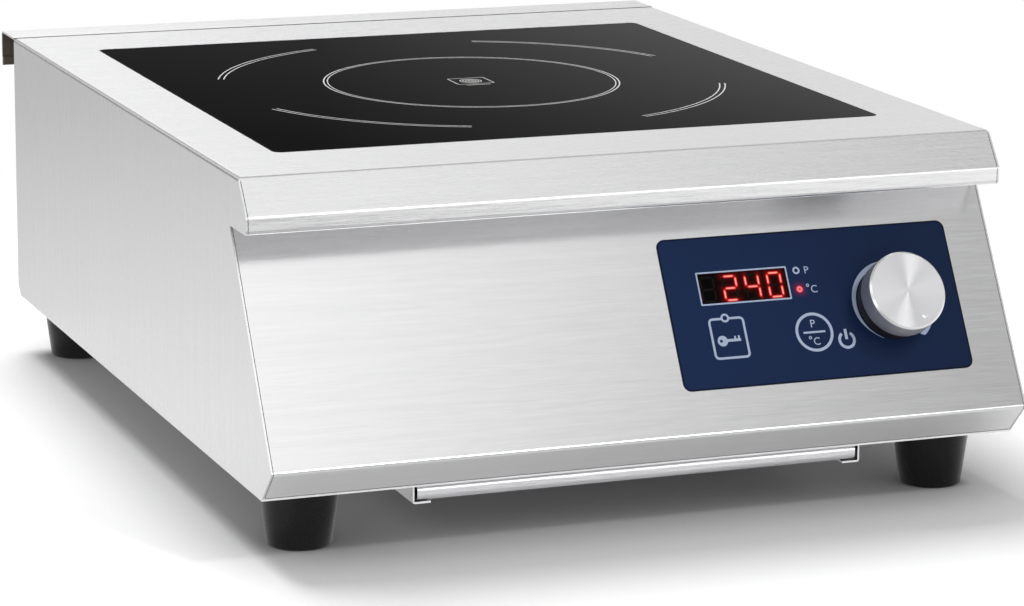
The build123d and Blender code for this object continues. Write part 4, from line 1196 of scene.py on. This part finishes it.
        lamp = (72.4, 31.0)
        around = (lamp[0] - 4, lamp[1] - 4, lamp[0] + 4, lamp[1] + 4)
        self.glow("lamp_glow", around, [lamp + lamp], 3.2, film + 0.006, lit_film())
        for name, outer, inner, height, code in (
            ("unit_lamp", 1.9, 0.0, 0.012, "#D9303A"),
            ("unit_lamp_ring", 1.35, 0.75, 0.018, "#FF8A90"),
        ):
            shape = band(lamp, outer, inner, steps=36) if inner else disc(lamp, outer)
            lens = prism(shape, on_overlay, film, film + height)
            piece = mesh_object(name, lens, glowing(name + "_lit", code, 1.0))
            settle(piece, "housing", "led_red")
        return {"FINISHED"}


# ---- Knob ---------------------------------------------------------------------------------------
class HOB_OT_knob(bpy.types.Operator):
    """Turned aluminium cap with its dimple, over a moulded core"""

    bl_idname = "hob.knob"
    bl_label = "Knob"

    def execute(self, context):
        centre = (KNOB_ACROSS / MM, KNOB_DOWN / MM)

        def on_axis(x, y, height):
            return on_overlay(centre[0] + x, centre[1] + y, height)

        # Heights over the panel and radii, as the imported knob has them.
        face = 20.8
        rim = 9.0
        radius = 20.7
        bore = 17.1
        roof = face - 3.0
        dimple_radius, dimple_out, dimple_clock = 1.6, 15.5, 157.0
        profile = [
            (0.0, roof),
            (bore, roof),
            (bore, rim + 0.3),
            (bore + 0.3, rim),
            (radius - 0.25, rim),
            (radius - 0.05, rim + 0.12),
            (radius, rim + 0.5),
            (radius - 0.12, rim + 6.0),
            (radius - 0.2, face - 1.3),
            (radius - 0.2, face - 1.0),
            (radius - 1.0, face - 0.15),
            (radius - 1.15, face),
            (12.0, face),
            (6.0, face),
            (0.0, face),
        ]
        cap = mesh_object("knob_cap_turned", lathe(bmesh.new(), profile, on_axis, 160), turned_aluminium())
        cutter = bmesh.new()
        bmesh.ops.create_uvsphere(cutter, u_segments=40, v_segments=24, radius=dimple_radius * MM)
        dimple = on_axis(*clock_point((0, 0), dimple_out, dimple_clock), face + 0.1)
        bmesh.ops.translate(cutter, verts=cutter.verts, vec=dimple)
        ball = mesh_object("dimple_cutter", cutter, turned_aluminium())
        cut = cap.modifiers.new("dimple", "BOOLEAN")
        cut.operation = "DIFFERENCE"
        cut.solver = "EXACT"
        cut.object = ball
        baked(cap)
        bpy.data.objects.remove(ball)
        smooth(cap, 30)
        cap.data.materials.append(knurled_aluminium())
        last = len(cap.data.materials) - 1
        for polygon in cap.data.polygons:
            height = (polygon.center - KNOB_POINT).dot(PANEL_OUT) / MM
            out = (polygon.center - KNOB_POINT - PANEL_OUT * height * MM).length / MM
            if rim + 0.5 < height < face - 1.3 and out > bore + 1:
                polygon.material_index = last
        settle(cap, "knob", "aluminium_turned", "knob_cap")
        return {"FINISHED"}


# ---- Air filter ---------------------------------------------------------------------------------
class HOB_OT_air_filter(bpy.types.Operator):
    """Expanded-metal pad of the air filter"""

    bl_idname = "hob.air_filter"
    bl_label = "Air filter"

    def execute(self, context):
        low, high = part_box("filter_mesh")
        source = mesh_object("filter_pad", bmesh.new())
        expanded_mesh(
            source,
            high - low,
            (low + high) / 2,
            sizes().mesh_pitch,
            sizes().strand,
            sizes().mesh_layers,
            slot_material("aluminium_filter"),
        )
        smooth(source, 30)
        settle(source, "air_filter", "aluminium_filter", "filter_mesh")
        return {"FINISHED"}


# ---- Feet ---------------------------------------------------------------------------------------
class HOB_OT_feet(bpy.types.Operator):
    """Four tapered rubber feet with a socket for the screw"""

    bl_idname = "hob.feet"
    bl_label = "Rubber feet"

    def execute(self, context):
        for place in ("front_left", "front_right", "rear_left", "rear_right"):
            node = "foot_" + place
            low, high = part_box(node)
            middle = (low + high) / 2
            tall = (high.z - low.z) / MM

            def upright(x, y, height):
                return Vector((middle.x + x * MM, middle.y + y * MM, low.z + height * MM))

            profile = [
                (2.6, 18.0),
                (6.0, 18.0),
                (6.0, 0.5),
                (6.4, 0.0),
                (14.9, 0.0),
                (15.6, 0.25),
                (16.05, 1.0),
                (18.2, tall * 0.55),
                (19.75, tall - 1.4),
                (19.95, tall - 0.5),
                (19.6, tall),
                (2.6, tall),
                (2.6, 18.0),
            ]
            bm = lathe(bmesh.new(), profile, upright, 96)
            bmesh.ops.remove_doubles(bm, verts=bm.verts, dist=1e-6)
            bmesh.ops.recalc_face_normals(bm, faces=bm.faces)
            foot = mesh_object("rubber_" + node, bm, slot_material("rubber_foot"))
            smooth(foot, 50)
            settle(foot, "housing", "rubber_foot", node)
        return {"FINISHED"}


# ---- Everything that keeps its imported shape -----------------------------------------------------
class HOB_OT_inside(bpy.types.Operator):
    """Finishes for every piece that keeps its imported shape"""

    bl_idname = "hob.inside"
    bl_label = "Inner parts and fasteners"

    def execute(self, context):
        for part in FRAME["nodes"].values():
            for place in part.material_slots:
                place.material = slot_material(place.material.name)
        return {"FINISHED"}


# ---- Stage --------------------------------------------------------------------------------------
def floor_material():
    """A white paper sweep that keeps the object's shadow, deepened with painted shadow close to it, and shows
    white in the metal's reflections.
    """
    made = bpy.data.materials.new("paper_sweep_white")
    made.use_nodes = True
    tree = made.node_tree
    tree.nodes.clear()
    place = add(tree, "ShaderNodeTexCoord").outputs["Object"]
    x, y, _ = add(tree, "ShaderNodeSeparateXYZ", inputs={0: place}).outputs
    # How far a point of the floor lies outside the object's outline.
    low, high = CAD_BOX
    half = (high.x - low.x) / 2, (high.y - low.y) / 2, 0.0
    away = add(tree, VECTOR_MATH, {"operation": "ABSOLUTE"}, {0: place})
    away = add(tree, VECTOR_MATH, {"operation": "SUBTRACT"}, {0: away, 1: half})
    away = add(tree, VECTOR_MATH, {"operation": "MAXIMUM"}, {0: away, 1: (0, 0, 0)})
    away = add(tree, VECTOR_MATH, {"operation": "LENGTH"}, {0: away}).outputs["Value"]
    # The paper itself, with painted shadow: a little greyer where the object stands close over it.
    sky = add(tree, "ShaderNodeAmbientOcclusion", {"samples": 8}, {"Distance": 0.14, "Color": grey(1.0)})
    open_sky = add(tree, RANGE, inputs={"Value": sky.outputs["AO"], "From Min": 0.2, "From Max": 0.95})
    paper = add(tree, MIX, COLOURS, {0: open_sky, 6: linear("#BEBEBE"), 7: grey(1.0)})
    diffuse = add(tree, "ShaderNodeBsdfDiffuse", inputs={"Color": paper})
    # What polished faces mirror of it: brighter behind the object, and darker in front of its left side, a
    # painted shadow in the reflections.
    back_levels = {"From Min": 0.0, "From Max": 1.05, "To Min": 1.04, "To Max": 0.62}
    behind = add(tree, RANGE, inputs={**back_levels, "Value": y})
    from_left = add(tree, MATH, {"operation": "ADD"}, {0: x, 1: 0.2})
    painted_shadow_ahead = add(tree, "ShaderNodeValToRGB", inputs={0: from_left})
    set_stops(painted_shadow_ahead.color_ramp, [(0.1, 0.2), (0.28, 0.26), (0.5, 0.52), (0.75, 0.92)])
    front_edge = {"From Min": -0.6, "From Max": -0.2, "To Min": 1, "To Max": 0}
    front = add(tree, RANGE, inputs={**front_edge, "Value": y})
    mirrored = add(tree, MIX, {"data_type": "FLOAT"}, {0: front, 2: behind, 3: painted_shadow_ahead})
    ray = add(tree, "ShaderNodeLightPath").outputs
    glossy = add(tree, MATH, {"operation": "MAXIMUM"}, {0: ray["Is Glossy Ray"], 1: ray["Is Transmission Ray"]})
    strength = add(tree, MIX, {"data_type": "FLOAT"}, {0: glossy, 2: 1.0, 3: mirrored})
    plain = add(tree, "ShaderNodeEmission", inputs={"Color": grey(1.0), "Strength": strength})
    # The shadow fades into plain white away from the object; in reflections it is short and deep.
    seen_far = add(tree, RANGE, SOFT_EDGE, {"Value": away, "From Min": 0.06, "From Max": 0.48})
    depth = {"From Min": -0.15, "From Max": 0.2, "To Min": 0.38, "To Max": 0.16}
    under = add(tree, RANGE, inputs={**depth, "Value": x})
    mirror_far = add(tree, RANGE, SOFT_EDGE, {"Value": away, "From Max": 0.07, "To Min": under})
    share = add(tree, MATH, TIMES, {0: ray["Is Camera Ray"], 1: seen_far})
    share = add(tree, MATH, {"operation": "MULTIPLY_ADD"}, {0: glossy, 1: mirror_far, 2: share})
    mixed = add(tree, "ShaderNodeMixShader", inputs={0: share, 1: diffuse, 2: plain})
    add(tree, "ShaderNodeOutputMaterial", inputs={"Surface": mixed})
    return made


def studio_world(scene):
    """A white studio: even fill on everything, and in the metal a wide light in front and one behind."""
    world = bpy.data.worlds.new("studio")
    world.use_nodes = True
    tree = world.node_tree
    tree.nodes.clear()
    direction = add(tree, "ShaderNodeTexCoord").outputs["Generated"]
    x, y, z = add(tree, "ShaderNodeSeparateXYZ", inputs={0: direction}).outputs
    least = 0.02  # keeps the divisions away from zero
    rise = add(tree, MATH, {"operation": "MAXIMUM"}, {0: z, 1: least})
    towards = add(tree, MATH, TIMES, {0: y, 1: -1.0})
    towards = add(tree, MATH, {"operation": "MAXIMUM"}, {0: towards, 1: least})
    beyond = add(tree, MATH, {"operation": "MAXIMUM"}, {0: y, 1: least})
    across, along, aside, turn = (
        add(tree, MATH, {"operation": "DIVIDE"}, {0: part, 1: whole})
        for part, whole in ((x, rise), (y, rise), (x, towards), (x, beyond))
    )
    lifted_turn = add(tree, MATH, {"operation": "ADD"}, {0: turn, 1: 0.5})

    # Grey levels of the room in front, its soft box, the low strip behind and the wall over it.
    room, box_level, strip, wall = (
        add(tree, "ShaderNodeValToRGB", inputs={0: place}) for place in (rise, rise, turn, lifted_turn)
    )
    set_stops(room.color_ramp, [(0.0, 1.0), (0.1, 0.95), (0.3, 0.3), (0.45, 0.22), (0.6, 0.23), (1.0, 0.25)])
    set_stops(box_level.color_ramp, [(0.0, 0.69), (0.7, 0.69), (0.85, 0.52)])
    set_stops(strip.color_ramp, [(0.28, 0.11), (0.33, 0.14), (0.376, 0.26), (0.414, 0.37), (0.5, 0.62)])
    set_stops(
        wall.color_ramp,
        [(0.05, 0.55), (0.26, 0.55), (0.33, 0.28), (0.56, 0.28), (0.66, 1.0), (0.77, 1.0), (1.0, 0.5)],
    )

    # The soft box and a low card in front, each full inside its soft edges.
    zones = []
    for edges in (
        ((across, 0.27, 0.78, 1, 0), (across, -2.6, -1.6, 0, 1), (along, -2.4, -1.5, 0, 1)),
        ((aside, 0.1, 0.24, 0, 1), (aside, 0.4, 0.55, 1, 0), (rise, 0.04, 0.12, 0, 1), (rise, 0.4, 0.52, 1, 0)),
    ):
        zone = 1.0
        for place, start, stop, low, high in edges:
            span = {"From Min": start, "From Max": stop, "To Min": low, "To Max": high}
            edge = add(tree, RANGE, SOFT_EDGE, {**span, "Value": place})
            zone = add(tree, MATH, TIMES, {0: zone, 1: edge})
        zones.append(zone)
    box, card = zones
    front = add(tree, MIX, COLOURS, {0: box, 6: room, 7: box_level})
    front = add(tree, MIX, COLOURS, {0: card, 6: front, 7: grey(2.3)})

    # Behind: the strip darkens upwards, and the wall goes over into a dim ceiling.
    fall_levels = {"From Min": 0.155, "From Max": 0.187, "To Min": 1.0, "To Max": 0.42}
    fall = add(tree, RANGE, inputs={**fall_levels, "Value": rise})
    strip = add(tree, MIX, COLOURS, {0: fall, 6: grey(0.0), 7: strip})
    high_up = add(tree, RANGE, inputs={"Value": rise, "From Min": 0.55, "From Max": 0.72})
    wall = add(tree, MIX, COLOURS, {0: high_up, 6: wall, 7: grey(0.2)})
    over_strip = add(tree, RANGE, inputs={"Value": rise, "From Min": 0.194, "From Max": 0.275})
    back = add(tree, MIX, COLOURS, {0: over_strip, 6: strip, 7: wall})
    from_front = add(tree, RANGE, inputs={"Value": y, "From Min": -0.2, "From Max": 0.1})
    mirrored = add(tree, MIX, COLOURS, {0: from_front, 6: front, 7: back})

    # Levels above are halves of the light, so that a ramp can hold up to twice white.
    half = 0.5
    ray = add(tree, "ShaderNodeLightPath").outputs
    lit = add(tree, MIX, COLOURS, {0: ray["Is Glossy Ray"], 6: grey(0.24), 7: mirrored})
    seen = add(tree, MIX, COLOURS, {0: ray["Is Camera Ray"], 6: lit, 7: grey(half)})
    glow = add(tree, "ShaderNodeBackground", inputs={"Color": seen, "Strength": 1 / half})
    add(tree, "ShaderNodeOutputWorld", inputs={"Surface": glow})
    scene.world = world


def area_lamp(name, place, aim, size, power):
    """A round soft lamp, which the metal doesn't mirror because the studio gives its reflections."""
    lamp = bpy.data.lights.new(name, "AREA")
    lamp.shape = "DISK"
    lamp.size = size
    lamp.energy = power
    holder = bpy.data.objects.new(name, lamp)
    bpy.context.scene.collection.objects.link(holder)
    holder.location = place
    holder.rotation_euler = (Vector(aim) - Vector(place)).to_track_quat("-Z", "Y").to_euler()
    holder.visible_glossy = False


def set_camera(scene):
    """A long lens to the left of the front, looking down a little."""
    yaw, pitch, roll = math.radians(21.2116), math.radians(12.9548), math.radians(0.5428)
    forward = Vector((math.sin(yaw) * math.cos(pitch), math.cos(yaw) * math.cos(pitch), -math.sin(pitch)))
    right = Vector((math.cos(yaw), -math.sin(yaw), 0))
    up = right.cross(forward)
    tilted_right = right * math.cos(roll) + up * math.sin(roll)
    tilted_up = up * math.cos(roll) - right * math.sin(roll)
    camera = bpy.data.cameras.new("camera")
    camera.lens = 137.858
    camera.sensor_width = 36.0
    camera.clip_end = 100.0
    holder = bpy.data.objects.new("camera", camera)
    scene.collection.objects.link(holder)
    turned = Matrix((tilted_right, tilted_up, -forward)).transposed().to_4x4()
    turned.translation = Vector((-0.7382, -1.95527, 0.54177))
    holder.matrix_world = turned
    scene.camera = holder


class HOB_OT_stage(bpy.types.Operator):
    """White floor, soft studio light and the camera"""

    bl_idname = "hob.stage"
    bl_label = "Stage"

    def execute(self, context):
        scene = context.scene
        bm = bmesh.new()
        bmesh.ops.create_grid(bm, x_segments=1, y_segments=1, size=30.0)
        floor = mesh_object("floor", bm, floor_material())
        studio_world(scene)
        area_lamp("overhead", (-0.3, 1.5, 2.7), (0.0, 0.0, 0.1), 1.5, 81.0)
        area_lamp("key", (1.1, -1.8, 2.4), (0.0, -0.1, 0.1), 0.35, 17.0)
        set_camera(scene)
        scene.view_settings.view_transform = "Standard"
        return {"FINISHED"}


# ---- Add-on -------------------------------------------------------------------------------------
STEPS = ("inside", "casing", "glass", "overlay", "knob", "air_filter", "feet", "stage")


class HOB_PT_panel(bpy.types.Panel):
    """Lists the hob's sizes and colours, and the operators that make it"""

    bl_label = "Induction hob"
    bl_idname = "HOB_PT_panel"
    bl_space_type = "VIEW_3D"
    bl_region_type = "UI"
    bl_category = "Hob"

    def draw(self, context):
        for group in (context.scene.hob_sizes, context.scene.hob_colours):
            for key in group.bl_rna.properties.keys():
                if key not in ("rna_type", "name"):
                    self.layout.prop(group, key)
        for step in STEPS:
            self.layout.operator("hob." + step)


CLASSES = (
    HobSizes,
    HobColours,
    HOB_OT_inside,
    HOB_OT_casing,
    HOB_OT_glass,
    HOB_OT_overlay,
    HOB_OT_knob,
    HOB_OT_air_filter,
    HOB_OT_feet,
    HOB_OT_stage,
    HOB_PT_panel,
)


def register():
    for entry in CLASSES:
        bpy.utils.register_class(entry)
    bpy.types.Scene.hob_sizes = PointerProperty(type=HobSizes)
    bpy.types.Scene.hob_colours = PointerProperty(type=HobColours)


def unregister():
    del bpy.types.Scene.hob_colours
    del bpy.types.Scene.hob_sizes
    for entry in reversed(CLASSES):
        bpy.utils.unregister_class(entry)


def main():
    register()
    for step in STEPS:
        getattr(bpy.ops.hob, step)()


if __name__ == "__main__":
    main()
